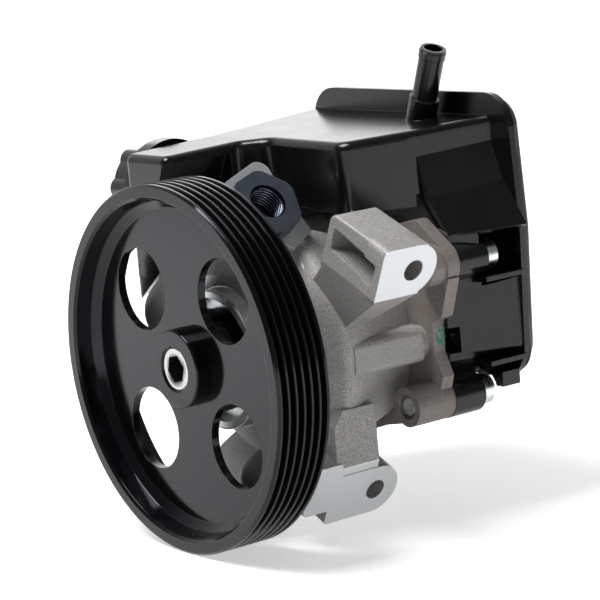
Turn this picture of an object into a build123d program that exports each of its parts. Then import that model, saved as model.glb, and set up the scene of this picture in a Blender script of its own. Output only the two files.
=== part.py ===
"""Vane-type power steering pump with its belt pulley, mounting ears and fluid reservoir.

Millimetres. The shaft runs along Y, with the pulley at the front (-Y) and the reservoir lid at the rear.
The origin lies on the shaft's axis, at the middle plane of the belt grooves. +Z is the reservoir's top.
"""

import os
from math import cos, degrees, radians, sin, tan

from build123d import *

# Fits between pieces
SEAT_GAP = 0.02
RUNNING_GAP = 0.05
CLEAR_GAP = 0.3

# Belt pulley
GROOVE_COUNT = 6
GROOVE_PITCH = 3.56
GROOVE_DEPTH = 2.7
GROOVE_HALF_ANGLE = 20
GROOVE_FLOOR = 0.8
CREST_RADIUS = 73.2
RIM_EDGE = 1.42
RIM_WALL = 5.0
RIM_SHELF = 10.5
WEB_FRONT_Y = -2.0
WEB_THICKNESS = 3.4
WEB_HOLE_COUNT = 4
WEB_HOLE_INNER_LAND = 3.0
WEB_HOLE_OUTER_LAND = 5.8
HUB_FRONT_Y = -8.5
HUB_REAR_Y = 13.1
HUB_FRONT_RADIUS = 15.6
HUB_REAR_RADIUS = 20.5
HUB_CHAMFER = 0.8

# Drive shaft
SHAFT_RADIUS = 8.5
SHAFT_FRONT_Y = -7.8
SHAFT_SPLINE_ROOT_RADIUS = 7.3
SHAFT_SPLINE_TIP_RADIUS = 8.3
SHAFT_SPLINE_TEETH = 12
SHAFT_TAIL_RADIUS = 6.8
SOCKET_FLATS = 10.2
SOCKET_DEPTH = 10.0

# Ball bearing, its retaining ring and the shaft seal
BEARING_FRONT_Y = 18.0
BEARING_WIDTH = 12.0
BEARING_RADIUS = 20.0
BALL_COUNT = 8
BALL_TRACK_GAP = 0.1
RACE_FLOOR = 2.38
RACE_HEIGHT = 3.55
CAGE_GAP = 1.2
CAGE_RIM = 1.03
RETAINING_RING_WIDTH = 1.4
RETAINING_RING_DEPTH = 1.2
RETAINING_RING_HEIGHT = 3.4
SEAL_RADIUS = 14.0
SEAL_WIDTH = 7.0
SEAL_SHOULDER = 1.0

# Pump housing
COLLAR_FRONT_Y = 11.0
COLLAR_RADIUS = 28.1
COLLAR_BORE_RADIUS = 24.7
COLLAR_LENGTH = 7.0
COLLAR_NOTCH_COUNT = 4
COLLAR_NOTCH_WIDTH = 5.0
COLLAR_NOTCH_DEPTH = 0.8
COLLAR_NOTCH_ANGLE = 62
COLLAR_RELIEF_RADIUS = 33.0
SHOULDER_RADIUS = 50.0
SHOULDER_Y = 40.0
SHOULDER_LAND = 6.0
JOINT_Y = 79.2
JOINT_RADIUS = 38.5
SHAFT_HOLE_RADIUS = 9.3

# Pumping cartridge
CARTRIDGE_FRONT_Y = 45.0
CARTRIDGE_BORE_RADIUS = 31.5
PRESSURE_PLATE_THICKNESS = 8.0
REAR_PLATE_THICKNESS = 7.0
CAM_WIDTH = 18.0
CAM_MINOR_RADIUS = 20.0
CAM_MAJOR_RADIUS = 22.5
ROTOR_RADIUS = 19.8
VANE_COUNT = 10
VANE_THICKNESS = 1.5
VANE_HEIGHT = 8.4
VANE_START_ANGLE = 9
SLOT_FLOOR_RADIUS = 11.0
SLOT_RELIEF_RADIUS = 1.3
DOWEL_RADIUS = 1.75
DOWEL_PITCH_RADIUS = 27.0
DOWEL_LENGTH = 28.0
PLATE_SPRING_WIDTH = 5.0
PLATE_SPRING_THICKNESS = 0.7
PORT_SLOT_RADIUS = 15.5

# Flow control valve and pressure port, on an axis square to the shaft
PORT_ANGLE = 37.7
PORT_Y = 29.0
PORT_OFFSET = 36.4
PAD_LEVEL = 45.0
PAD_THICKNESS = 7.0
VALVE_BOSS_RADIUS = 14.5
VALVE_BOSS_END = -38.0
VALVE_BOSS_ROUNDING = 8.0
VALVE_BULB_RADIUS = 17.5
VALVE_BULB_LENGTH = 28.0
VALVE_HEAD_START = 0.0
VALVE_BORE_RADIUS = 8.0
VALVE_BORE_END = -30.0
UNION_HEIGHT = 8.7
UNION_FLATS = 26.5
UNION_CORNER_RADIUS = 14.3
UNION_SHANK_RADIUS = 9.0
UNION_SHANK_LENGTH = 12.0
PORT_THREAD_RADIUS = 7.4
PORT_THREAD_DEPTH = 13.0
PORT_PASSAGE_RADIUS = 3.5
UNION_SEAL_RADIUS = 12.4
UNION_SEAL_THICKNESS = 1.2
SPOOL_LENGTH = 26.0
SPRING_RADIUS = 5.6
SPRING_WIRE_RADIUS = 0.8
SPRING_TURNS = 5

# Mounting ears, both machined to one plane
EAR_ANGLE = -25.5
EAR_LEVEL = 60.0
EAR_THICKNESS = 10.5
EAR_ROUNDING = 11.0
EAR_HOLE_RADIUS = 4.35
UPPER_EAR_Y = 47.0
UPPER_EAR_HEIGHT = 69.0
LOWER_EAR_Y = 54.0
LOWER_EAR_HEIGHT = -33.7
EAR_FRONT_Y = 31.0
ARM_FRONT_Y = 32.0
ARM_REAR_Y = 51.8
ARM_POCKET_DEPTH = 10.4
ARM_ROUNDING = 1.2
SPOT_FACE_RADIUS = 8.0
SPOT_FACE_DEPTH = 20.0
LOWER_BOSS_RADIUS = 11.0
LOWER_BOSS_END = 17.0
LOWER_BOSS_LENGTH = 22.0

# Cover bolts and their housing bosses
COVER_BOLT_ANGLES = (-1, 112, 172, 262)
COVER_BOLT_PITCH_RADIUS = 43.5
COVER_BOLT_RADIUS = 2.9
COVER_BOLT_HEAD_FLATS = 9.6
COVER_BOLT_HEAD_HEIGHT = 4.0
COVER_BOLT_GRIP = 16.0
COVER_BOSS_RADIUS = 6.4
COVER_BOSS_FRONT_Y = 42.0

# Rear cover
COVER_THICKNESS = 5.8
COVER_RADIUS = 42.0
O_RING_WIRE_RADIUS = 0.88
O_RING_GROOVE = 1.8
COVER_LAND_RADIUS = 35.3
NECK_RADIUS = 17.5
NECK_BORE_RADIUS = 13.5
NECK_LENGTH = 9.0
SUCTION_HOLE_RADIUS = 2.2
SUCTION_HOLE_PITCH_RADIUS = 11.2
SUCTION_HOLE_COUNT = 6
BUSH_RADIUS = 8.8
SUCTION_RING_GROOVE = 2.4
SUCTION_RING_DEPTH = 2.0

# Reservoir screws, zinc plated, through the moulded bosses into the cover's lobes
SCREW_PLACES = ((56.5, 31.0), (48.5, -24.5), (-51.0, -12.0))
SCREW_LOBE_FRONT_Y = (72.0, 66.4, 74.0)
SCREW_LOBE_RADIUS = 8.0
SCREW_RADIUS = 3.5
SCREW_HEAD_RADIUS = 6.3
SCREW_SOCKET_FLATS = 6.0
SCREW_HEAD_HEIGHT = 6.4
SCREW_BOSS_RADIUS = 8.2
SCREW_BOSS_LENGTH = 15.6
SCREW_GROOVE_RADIUS = 12.0
SLEEVE_WALL = 1.2

# Reservoir
WALL = 3.0
TANK_LEFT_X = -64.0
TANK_FRONT_Y = 18.0
TANK_FRONT_TOP_Z = 78.0
TANK_TOP_Z = 80.0
TANK_REAR_TOP_Z = 84.5
TANK_FLOOR_Z = -20.0
TANK_ROUNDING = 3.5
MOUTH_REACH = 24.0
BACK_REACH = 13.0
BOLT_RELIEF_INSIDE = 2.0
BOLT_RELIEF_OUTSIDE = 22.0
BLOCK_RIGHT_X = -33.0
BLOCK_FLOOR_Z = 4.0
BLOCK_NOTCH_DEPTH = 11.0
BLOCK_NOTCH_TOP_Z = 75.0
DECK_FRONT_Y = 60.0
DECK_RIGHT_X = 28.0
DECK_FLOOR_Z = 52.0
ARCH_RADIUS = 53.0
VALVE_CHANNEL_GAP = 1.0
BACK_FRONT_Y = 85.0
BACK_RIGHT_X = 55.0
BACK_FLARE = 8.0
PUMP_WELL_DEPTH = 5.0
FLANGE_Y = 116.0
FLANGE_THICKNESS = 3.0
FLANGE_LEFT_X = -62.0
FLANGE_RIGHT_X = 66.5
FLANGE_TOP_Z = 93.5
FLANGE_FLOOR_Z = -22.0
FLANGE_CORNER = 14.0
LID_INSET = 2.5
LID_THICKNESS = 5.5
LID_ROUNDING = 3.0

EJECTOR_PLACE = (-58.4, 29.7)
EJECTOR_RADIUS = 3.0
EJECTOR_DEPTH = 0.3

# Return nipple
NIPPLE_BASE = (20.0, 107.0, 80.0)
NIPPLE_LEAN = 22.0
NIPPLE_RADIUS = 5.15
NIPPLE_BORE_RADIUS = 3.8
NIPPLE_LENGTH = 34.5
NIPPLE_COLLAR_RADIUS = 6.1
NIPPLE_COLLAR_LENGTH = 13.0
NIPPLE_BARB_RADIUS = 5.5
NIPPLE_BARB_LENGTH = 4.0

# Filler cap, on the left wall with its axis along X
CAP_Y = 42.6
CAP_Z = 61.0
FILLER_RADIUS = 15.0
FILLER_BORE_RADIUS = 12.0
FILLER_LENGTH = 5.0
CAP_FLANGE_RADIUS = 20.0
CAP_GRIP_RADIUS = 17.5
CAP_GRIP_LENGTH = 15.0
CAP_LOBES = 6
CAP_LOBE_RADIUS = 5.0
CAP_WALL = 2.5
GASKET_THICKNESS = 1.6

# Filter screen over the suction neck
SCREEN_RADIUS = 16.0
SCREEN_LENGTH = 12.0
SCREEN_WALL = 1.0

# Deflector shield over the upper screw
SHIELD_THICKNESS = 2.2
SHIELD_FRONT = ((41.5, 74.2), (48.0, 56.0), (59.0, 41.0))
SHIELD_SHIFT = (10.5, 3.4)
SHIELD_WEB_LENGTH = 12.6
SHIELD_WEB_FLARE = 3.5
SHIELD_FOOT_GROWTH = 1.14

SHAFT_PLANE = Plane(origin=(0, 0, 0), x_dir=(1, 0, 0), z_dir=(0, -1, 0))


def side_plane(angle):
    """A plane on the shaft's axis, facing outward at the angle above +X; its x runs rearward."""
    outward = (cos(radians(angle)), 0, sin(radians(angle)))
    return Plane(origin=(0, 0, 0), x_dir=(0, 1, 0), z_dir=outward)


EAR_PLANE = side_plane(EAR_ANGLE)
PORT_PLANE = side_plane(PORT_ANGLE)


def outline(*corners):
    """A flat face with these corners; a third number rounds its corner."""
    points = [(corner[0], corner[1]) for corner in corners]
    radii = [corner[2] if len(corner) > 2 else 0 for corner in corners]
    if any(radii):
        return make_face(FilletPolyline(*points, radius=radii, close=True))
    return make_face(Polyline(*points, close=True))


def turned(*corners):
    """A solid turned about the shaft's axis; corners are radius and y."""
    return revolve(outline(*corners), Axis.Y)


def prism(plane, face, start, end):
    """The face on the plane, drawn out along the plane's normal from start to end."""
    return extrude(plane.offset(start) * face, end - start, dir=plane.z_dir)


def along_shaft(face, front, rear):
    """The face, seen from the front, drawn out along the shaft between two y values."""
    return prism(SHAFT_PLANE, face, -rear, -front)


def disc(x, z, radius):
    """A round face at a place across the shaft."""
    return Pos(x, z) * Circle(radius)


def polar(radius, angle):
    """The point at a radius and an angle in degrees."""
    return radius * cos(radians(angle)), radius * sin(radians(angle))


def joined(shapes):
    """The union of a list of shapes."""
    whole = shapes[0]
    for shape in shapes[1:]:
        whole = whole + shape
    return whole


def hull_of(*faces):
    """The convex hull round some faces."""
    return make_hull(joined(list(faces)).edges())


# Places that follow from the sizes above
WEB_RADIUS = CREST_RADIUS - RIM_SHELF
WEB_HOLE_RADIUS = (WEB_RADIUS - HUB_REAR_RADIUS - WEB_HOLE_INNER_LAND - WEB_HOLE_OUTER_LAND) / 2
WEB_HOLE_PITCH_RADIUS = HUB_REAR_RADIUS + WEB_HOLE_INNER_LAND + WEB_HOLE_RADIUS
RIM_HALF_WIDTH = GROOVE_COUNT * GROOVE_PITCH / 2 + RIM_EDGE
BEARING_REAR_Y = BEARING_FRONT_Y + BEARING_WIDTH
BALL_PITCH_RADIUS = (SHAFT_RADIUS + BEARING_RADIUS) / 2
BALL_RADIUS = (BEARING_RADIUS - SHAFT_RADIUS) / 2 - RACE_FLOOR
SEAL_FRONT_Y = BEARING_REAR_Y + SEAL_SHOULDER
SEAL_REAR_Y = SEAL_FRONT_Y + SEAL_WIDTH
CAM_FRONT_Y = CARTRIDGE_FRONT_Y + PRESSURE_PLATE_THICKNESS
CAM_REAR_Y = CAM_FRONT_Y + CAM_WIDTH
DOWEL_REACH = (DOWEL_LENGTH - CAM_WIDTH) / 2
REAR_PLATE_REAR_Y = CAM_REAR_Y + REAR_PLATE_THICKNESS
COVER_REAR_Y = JOINT_Y + COVER_THICKNESS
SCREW_HEAD_Y = BACK_FRONT_Y + SCREW_BOSS_LENGTH
UNION_TOP = PAD_LEVEL + UNION_HEIGHT
LID_FRONT_Y = FLANGE_Y + FLANGE_THICKNESS
SPOOL_START = PAD_LEVEL - UNION_SHANK_LENGTH - SPOOL_LENGTH - 2 * CLEAR_GAP
WELL_Y = BACK_FRONT_Y + PUMP_WELL_DEPTH


def pulley():
    """Turned steel pulley with V grooves and four holes in its web."""
    half_opening = GROOVE_FLOOR / 2 + GROOVE_DEPTH * tan(radians(GROOVE_HALF_ANGLE))
    rim = [(CREST_RADIUS, -RIM_HALF_WIDTH + HUB_CHAMFER)]
    for groove in range(GROOVE_COUNT):
        middle = (groove - (GROOVE_COUNT - 1) / 2) * GROOVE_PITCH
        rim.append((CREST_RADIUS, middle - half_opening))
        rim.append((CREST_RADIUS - GROOVE_DEPTH, middle - GROOVE_FLOOR / 2))
        rim.append((CREST_RADIUS - GROOVE_DEPTH, middle + GROOVE_FLOOR / 2))
        rim.append((CREST_RADIUS, middle + half_opening))
    web_rear = WEB_FRONT_Y + WEB_THICKNESS
    section = rim + [
        (CREST_RADIUS, RIM_HALF_WIDTH - HUB_CHAMFER),
        (CREST_RADIUS - HUB_CHAMFER, RIM_HALF_WIDTH),
        (CREST_RADIUS - RIM_WALL, RIM_HALF_WIDTH),
        (CREST_RADIUS - RIM_WALL - 1.5, web_rear + 2.5, 2),
        (WEB_RADIUS - 1, web_rear, 2),
        (HUB_FRONT_RADIUS + SEAT_GAP, web_rear),
        (HUB_FRONT_RADIUS + SEAT_GAP, WEB_FRONT_Y),
        (WEB_RADIUS, WEB_FRONT_Y, 0.6),
        (CREST_RADIUS - RIM_WALL - 2, WEB_FRONT_Y - 2.6, 1),
        (CREST_RADIUS - RIM_WALL - 1, 1 - RIM_HALF_WIDTH),
        (CREST_RADIUS - RIM_WALL, -RIM_HALF_WIDTH),
        (CREST_RADIUS - HUB_CHAMFER, -RIM_HALF_WIDTH),
    ]
    wheel = turned(*section)
    for quarter in range(WEB_HOLE_COUNT):
        x, z = polar(WEB_HOLE_PITCH_RADIUS, (quarter + 0.5) * 360 / WEB_HOLE_COUNT)
        wheel -= along_shaft(disc(x, z, WEB_HOLE_RADIUS), WEB_FRONT_Y - 1, web_rear + 1)
    return wheel


def pulley_hub():
    """Turned hub, pressed into the web from behind and welded there."""
    return turned(
        (SHAFT_RADIUS + SEAT_GAP, HUB_REAR_Y),
        (HUB_REAR_RADIUS, HUB_REAR_Y, 0.8),
        (HUB_REAR_RADIUS, WEB_FRONT_Y + WEB_THICKNESS),
        (HUB_FRONT_RADIUS, WEB_FRONT_Y + WEB_THICKNESS),
        (HUB_FRONT_RADIUS, HUB_FRONT_Y, HUB_CHAMFER),
        (SHAFT_RADIUS + HUB_CHAMFER, HUB_FRONT_Y),
        (SHAFT_RADIUS + SEAT_GAP, HUB_FRONT_Y + HUB_CHAMFER),
    )


def drive_shaft():
    """Shaft with a hexagon socket, a splined stretch for the rotor and a rear journal."""
    spline_front = CAM_FRONT_Y - 1
    spline_rear = CAM_REAR_Y + 2
    tail_rear = COVER_REAR_Y + 0.5
    shaft = turned(
        (0, SHAFT_FRONT_Y),
        (SHAFT_RADIUS - 0.4, SHAFT_FRONT_Y),
        (SHAFT_RADIUS, SHAFT_FRONT_Y + 0.4),
        (SHAFT_RADIUS, spline_front - 3),
        (SHAFT_SPLINE_TIP_RADIUS, spline_front - 2),
        (SHAFT_SPLINE_TIP_RADIUS, spline_rear),
        (SHAFT_TAIL_RADIUS, spline_rear),
        (SHAFT_TAIL_RADIUS, tail_rear),
        (0, tail_rear),
    )
    shaft -= along_shaft(hexagon(SOCKET_FLATS), SHAFT_FRONT_Y - 1, SHAFT_FRONT_Y + SOCKET_DEPTH)
    shaft -= along_shaft(Circle(SHAFT_RADIUS) - spline_face(0), spline_front, spline_rear)
    groove = Circle(SHAFT_RADIUS) - Circle(SHAFT_TAIL_RADIUS)
    return shaft - along_shaft(groove, CAM_REAR_Y, CAM_REAR_Y + 1)


def hexagon(flats):
    """A hexagon face of a given size across its flats."""
    return RegularPolygon(flats / 2, 6, major_radius=False, rotation=12)


def spline_face(gap):
    """The splined section of the shaft, grown by a gap."""
    tooth_width = SHAFT_SPLINE_TIP_RADIUS * radians(180 / SHAFT_SPLINE_TEETH) + 2 * gap
    tooth = Pos(SHAFT_SPLINE_TIP_RADIUS / 2, 0) * Rectangle(SHAFT_SPLINE_TIP_RADIUS + 2, tooth_width)
    teeth = [Rot(0, 0, index * 360 / SHAFT_SPLINE_TEETH) * tooth for index in range(SHAFT_SPLINE_TEETH)]
    star = joined([Circle(SHAFT_SPLINE_ROOT_RADIUS + gap)] + teeth)
    return star & Circle(SHAFT_SPLINE_TIP_RADIUS + gap)


def bearing_outer_race():
    """Outer race of the ball bearing."""
    inner = BEARING_RADIUS - RACE_HEIGHT
    race = turned(
        (inner, BEARING_FRONT_Y),
        (BEARING_RADIUS, BEARING_FRONT_Y, 0.6),
        (BEARING_RADIUS, BEARING_REAR_Y, 0.6),
        (inner, BEARING_REAR_Y),
    )
    return race - ball_track()


def bearing_inner_race():
    """Inner race of the ball bearing."""
    outer = SHAFT_RADIUS + RACE_HEIGHT
    race = turned(
        (SHAFT_RADIUS + SEAT_GAP, BEARING_FRONT_Y),
        (outer, BEARING_FRONT_Y),
        (outer, BEARING_REAR_Y),
        (SHAFT_RADIUS + SEAT_GAP, BEARING_REAR_Y),
    )
    return race - ball_track()


def ball_track():
    """The ring that the balls sweep, with their running clearance."""
    middle = BEARING_FRONT_Y + BEARING_WIDTH / 2
    section = Pos(BALL_PITCH_RADIUS, middle) * Circle(BALL_RADIUS + BALL_TRACK_GAP)
    return revolve(section, Axis.Y)


def ball_places():
    """The centres of the balls."""
    places = []
    for index in range(BALL_COUNT):
        x, z = polar(BALL_PITCH_RADIUS, index * 360 / BALL_COUNT)
        places.append(Pos(x, BEARING_FRONT_Y + BEARING_WIDTH / 2, z))
    return places


def bearing_balls():
    """The set of balls."""
    return Compound([place * Sphere(BALL_RADIUS) for place in ball_places()])


def bearing_cage():
    """Moulded cage, a ring with a round pocket for each ball."""
    inner = SHAFT_RADIUS + RACE_HEIGHT + CAGE_GAP
    outer = BEARING_RADIUS - RACE_HEIGHT - CAGE_GAP
    middle = BEARING_FRONT_Y + BEARING_WIDTH / 2
    half_width = BALL_RADIUS + BALL_TRACK_GAP + CAGE_RIM
    front = middle - half_width
    rear = middle + half_width
    cage = turned((inner, front), (outer, front), (outer, rear), (inner, rear))
    for index in range(BALL_COUNT):
        x, z = polar(1, index * 360 / BALL_COUNT)
        pocket = Plane(origin=(0, middle, 0), x_dir=(0, 1, 0), z_dir=(x, 0, z))
        hole = Circle(BALL_RADIUS + BALL_TRACK_GAP)
        cage -= prism(pocket, hole, BALL_PITCH_RADIUS - BALL_RADIUS, BALL_PITCH_RADIUS + BALL_RADIUS)
    return cage


def retaining_ring():
    """Split ring that holds the bearing in its bore."""
    outer = BEARING_RADIUS + RETAINING_RING_DEPTH - SEAT_GAP
    ring = Circle(outer) - Circle(outer - RETAINING_RING_HEIGHT)
    for angle in (-104, -76):
        x, z = polar(outer - RETAINING_RING_HEIGHT, angle)
        ring += Pos(x, z) * Circle(2.4)
    ring -= Pos(0, -outer) * Rectangle(5, 3 * RETAINING_RING_HEIGHT)
    for angle in (-104, -76):
        x, z = polar(outer - RETAINING_RING_HEIGHT, angle)
        ring -= Pos(x, z) * Circle(1)
    return along_shaft(ring, BEARING_FRONT_Y - RETAINING_RING_WIDTH, BEARING_FRONT_Y)


def shaft_seal():
    """Rubber lip seal behind the bearing."""
    lip = SHAFT_RADIUS + RUNNING_GAP
    return turned(
        (SEAL_RADIUS, SEAL_FRONT_Y, 0.5),
        (SEAL_RADIUS, SEAL_REAR_Y, 0.5),
        (SEAL_RADIUS - 1.5, SEAL_REAR_Y),
        (SEAL_RADIUS - 1.5, SEAL_FRONT_Y + 2),
        (lip + 1.8, SEAL_FRONT_Y + 2.4),
        (lip + 1.4, SEAL_REAR_Y - 1),
        (lip, SEAL_REAR_Y - 1.8),
        (lip + 0.5, SEAL_FRONT_Y + 1),
        (lip + 0.5, SEAL_FRONT_Y),
    )


def valve_boss():
    """Round casting that holds the flow control valve, with a rounded blind end."""
    length = PAD_LEVEL - PAD_THICKNESS - VALVE_BOSS_END
    section = outline(
        (0, 0),
        (VALVE_BULB_RADIUS, 0, VALVE_BOSS_ROUNDING),
        (VALVE_BULB_RADIUS, VALVE_BULB_LENGTH, 4),
        (VALVE_BOSS_RADIUS, VALVE_BULB_LENGTH + 6, 4),
        (VALVE_BOSS_RADIUS, length),
        (0, length),
    )
    boss = revolve(Plane.XZ * section, Axis.Z)
    place = PORT_PLANE.offset(VALVE_BOSS_END)
    return place.location * Pos(PORT_Y, PORT_OFFSET, 0) * boss


def rounded_bar(plane, y, height, radius, start, end, rounding):
    """A round bar square to a plane, with a rounded blind end."""
    section = outline((0, 0), (radius, 0, rounding), (radius, end - start), (0, end - start))
    return plane.offset(start).location * Pos(y, height, 0) * revolve(Plane.XZ * section, Axis.Z)


def port_round(radius, start, end):
    """A round bar on the valve's axis between two heights along it."""
    return prism(PORT_PLANE, Pos(PORT_Y, PORT_OFFSET) * Circle(radius), start, end)


def port_pad():
    """Machined pad round the pressure port."""
    face = hull_of(Circle(15), Pos(10, 18) * Circle(5), Pos(-5, 12) * Circle(5))
    nose = ((4.6, -15.4, 1), (7.6, -18.4, 1), (19.5, -11.7, 1.5), (18.3, -5.4, 1.5))
    face += outline((-8, -10), *nose, (14, 10))
    return prism(PORT_PLANE, Pos(PORT_Y, PORT_OFFSET) * face, PAD_LEVEL - PAD_THICKNESS, PAD_LEVEL)


def valve_head_blank():
    """The valve boss outside the shaft's axis with its pad, before drilling."""
    return port_pad() + port_round(VALVE_BOSS_RADIUS, VALVE_HEAD_START, PAD_LEVEL)


def port_holes():
    """The valve bore, the union's tapped hole and the spot face of its washer."""
    holes = port_round(VALVE_BORE_RADIUS, VALVE_BORE_END, PAD_LEVEL + 1)
    holes += port_round(UNION_SHANK_RADIUS + SEAT_GAP, PAD_LEVEL - UNION_SHANK_LENGTH, PAD_LEVEL + 1)
    return holes + port_round(UNION_SEAL_RADIUS + SEAT_GAP, PAD_LEVEL - UNION_SEAL_THICKNESS, PAD_LEVEL + 1)


def upper_ear():
    """Upper ear: a braced arm with a pocket in its front and a drilled lug."""
    section = outline((56, 59, 4), (88.4, 46), (79.1, 26.6), (49, 13), (30, 5), (25, 25), (45, 37))
    arm = along_shaft(section, ARM_FRONT_Y, ARM_REAR_Y)
    arm = fillet(arm.faces().sort_by(Axis.Y)[0].edges(), ARM_ROUNDING)
    along = (30.1, ARM_FRONT_Y - SHOULDER_Y, 13.6)
    slope = Plane(origin=(49, SHOULDER_Y, 13), x_dir=along, z_dir=slope_normal())
    arm -= prism(slope, Rectangle(160, 160), 0, 60)
    lug = outline(
        (EAR_FRONT_Y, UPPER_EAR_HEIGHT - EAR_ROUNDING),
        (UPPER_EAR_Y, UPPER_EAR_HEIGHT - EAR_ROUNDING),
        (UPPER_EAR_Y, UPPER_EAR_HEIGHT + EAR_ROUNDING),
        (EAR_FRONT_Y, UPPER_EAR_HEIGHT + EAR_ROUNDING, 3),
    )
    lug += Pos(UPPER_EAR_Y, UPPER_EAR_HEIGHT) * Circle(EAR_ROUNDING)
    arm += prism(EAR_PLANE, lug, EAR_LEVEL - EAR_THICKNESS, EAR_LEVEL)
    arm -= prism(EAR_PLANE, Rectangle(300, 300), EAR_LEVEL, EAR_LEVEL + 60)
    pocket = outline((57.5, 53.5, 1.5), (53.5, 45, 1.5), (77.5, 32.5, 1.5), (82, 40.5, 1.5))
    return arm - along_shaft(pocket, ARM_FRONT_Y - 5, ARM_FRONT_Y + ARM_POCKET_DEPTH)


def slope_normal():
    """The way the arm's sloped front flank faces, from three points on it."""
    gusset_tip = Vector(49, SHOULDER_Y, 13)
    inner = Vector(45, ARM_FRONT_Y, 41)
    outer = Vector(79.1, ARM_FRONT_Y, 26.6)
    normal = (inner - gusset_tip).cross(outer - gusset_tip)
    return normal if normal.Y < 0 else normal * -1


def lower_ear():
    """Lower ear: a long drilled pad on a leg, with a boss behind it."""
    top = LOWER_EAR_HEIGHT + EAR_ROUNDING
    bottom = LOWER_EAR_HEIGHT - EAR_ROUNDING
    pad = outline(
        (19, bottom + 6.5, 2),
        (EAR_FRONT_Y, bottom + 6.5),
        (EAR_FRONT_Y, bottom, 1),
        (LOWER_EAR_Y, bottom),
        (LOWER_EAR_Y, top),
        (35.5, top),
        (34, top + 6.4, 1),
        (19, top + 6.4, 2),
    )
    pad += Pos(LOWER_EAR_Y, LOWER_EAR_HEIGHT) * Circle(EAR_ROUNDING)
    ear = prism(EAR_PLANE, pad, EAR_LEVEL - EAR_THICKNESS, EAR_LEVEL)
    leg = outline((46, -20), (46, -44), (36, -56), (26, -50), (30, -30), (20, -20))
    leg_slope = Plane(origin=(0, SHOULDER_Y, -16), x_dir=(1, 0, 0), z_dir=(0, -1, 0.8))
    ear += along_shaft(leg, ARM_FRONT_Y, ARM_REAR_Y + 0.7) - prism(leg_slope, Rectangle(300, 300), 0, 60)
    web_left = ((-12, -62, 10), (-36, -54, 6), (-34, -44, 4), (-15, -32, 6))
    web = outline(*web_left, (40, -22), (40, -52), (30, -62, 3))
    ear += along_shaft(web, SHOULDER_Y - 8, SHOULDER_Y)
    end = LOWER_BOSS_END + LOWER_BOSS_LENGTH
    ear += rounded_bar(EAR_PLANE, 27, LOWER_EAR_HEIGHT - 9, LOWER_BOSS_RADIUS, LOWER_BOSS_END, end, 8)
    ear -= prism(EAR_PLANE, Rectangle(300, 300), EAR_LEVEL, EAR_LEVEL + 60)
    spot = Pos(LOWER_EAR_Y, LOWER_EAR_HEIGHT) * Circle(SPOT_FACE_RADIUS)
    back = EAR_LEVEL - EAR_THICKNESS
    return ear - prism(EAR_PLANE, spot, back - SPOT_FACE_DEPTH, back)


def ear_hole(y, height, depth):
    """A drilled hole square to the ears' machined plane."""
    return prism(EAR_PLANE, Pos(y, height) * Circle(EAR_HOLE_RADIUS), EAR_LEVEL - depth, EAR_LEVEL + 1)


def cover_bolt_face(radius, angle):
    """A round face at a cover bolt."""
    x, z = polar(COVER_BOLT_PITCH_RADIUS, angle)
    return disc(x, z, radius)


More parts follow.
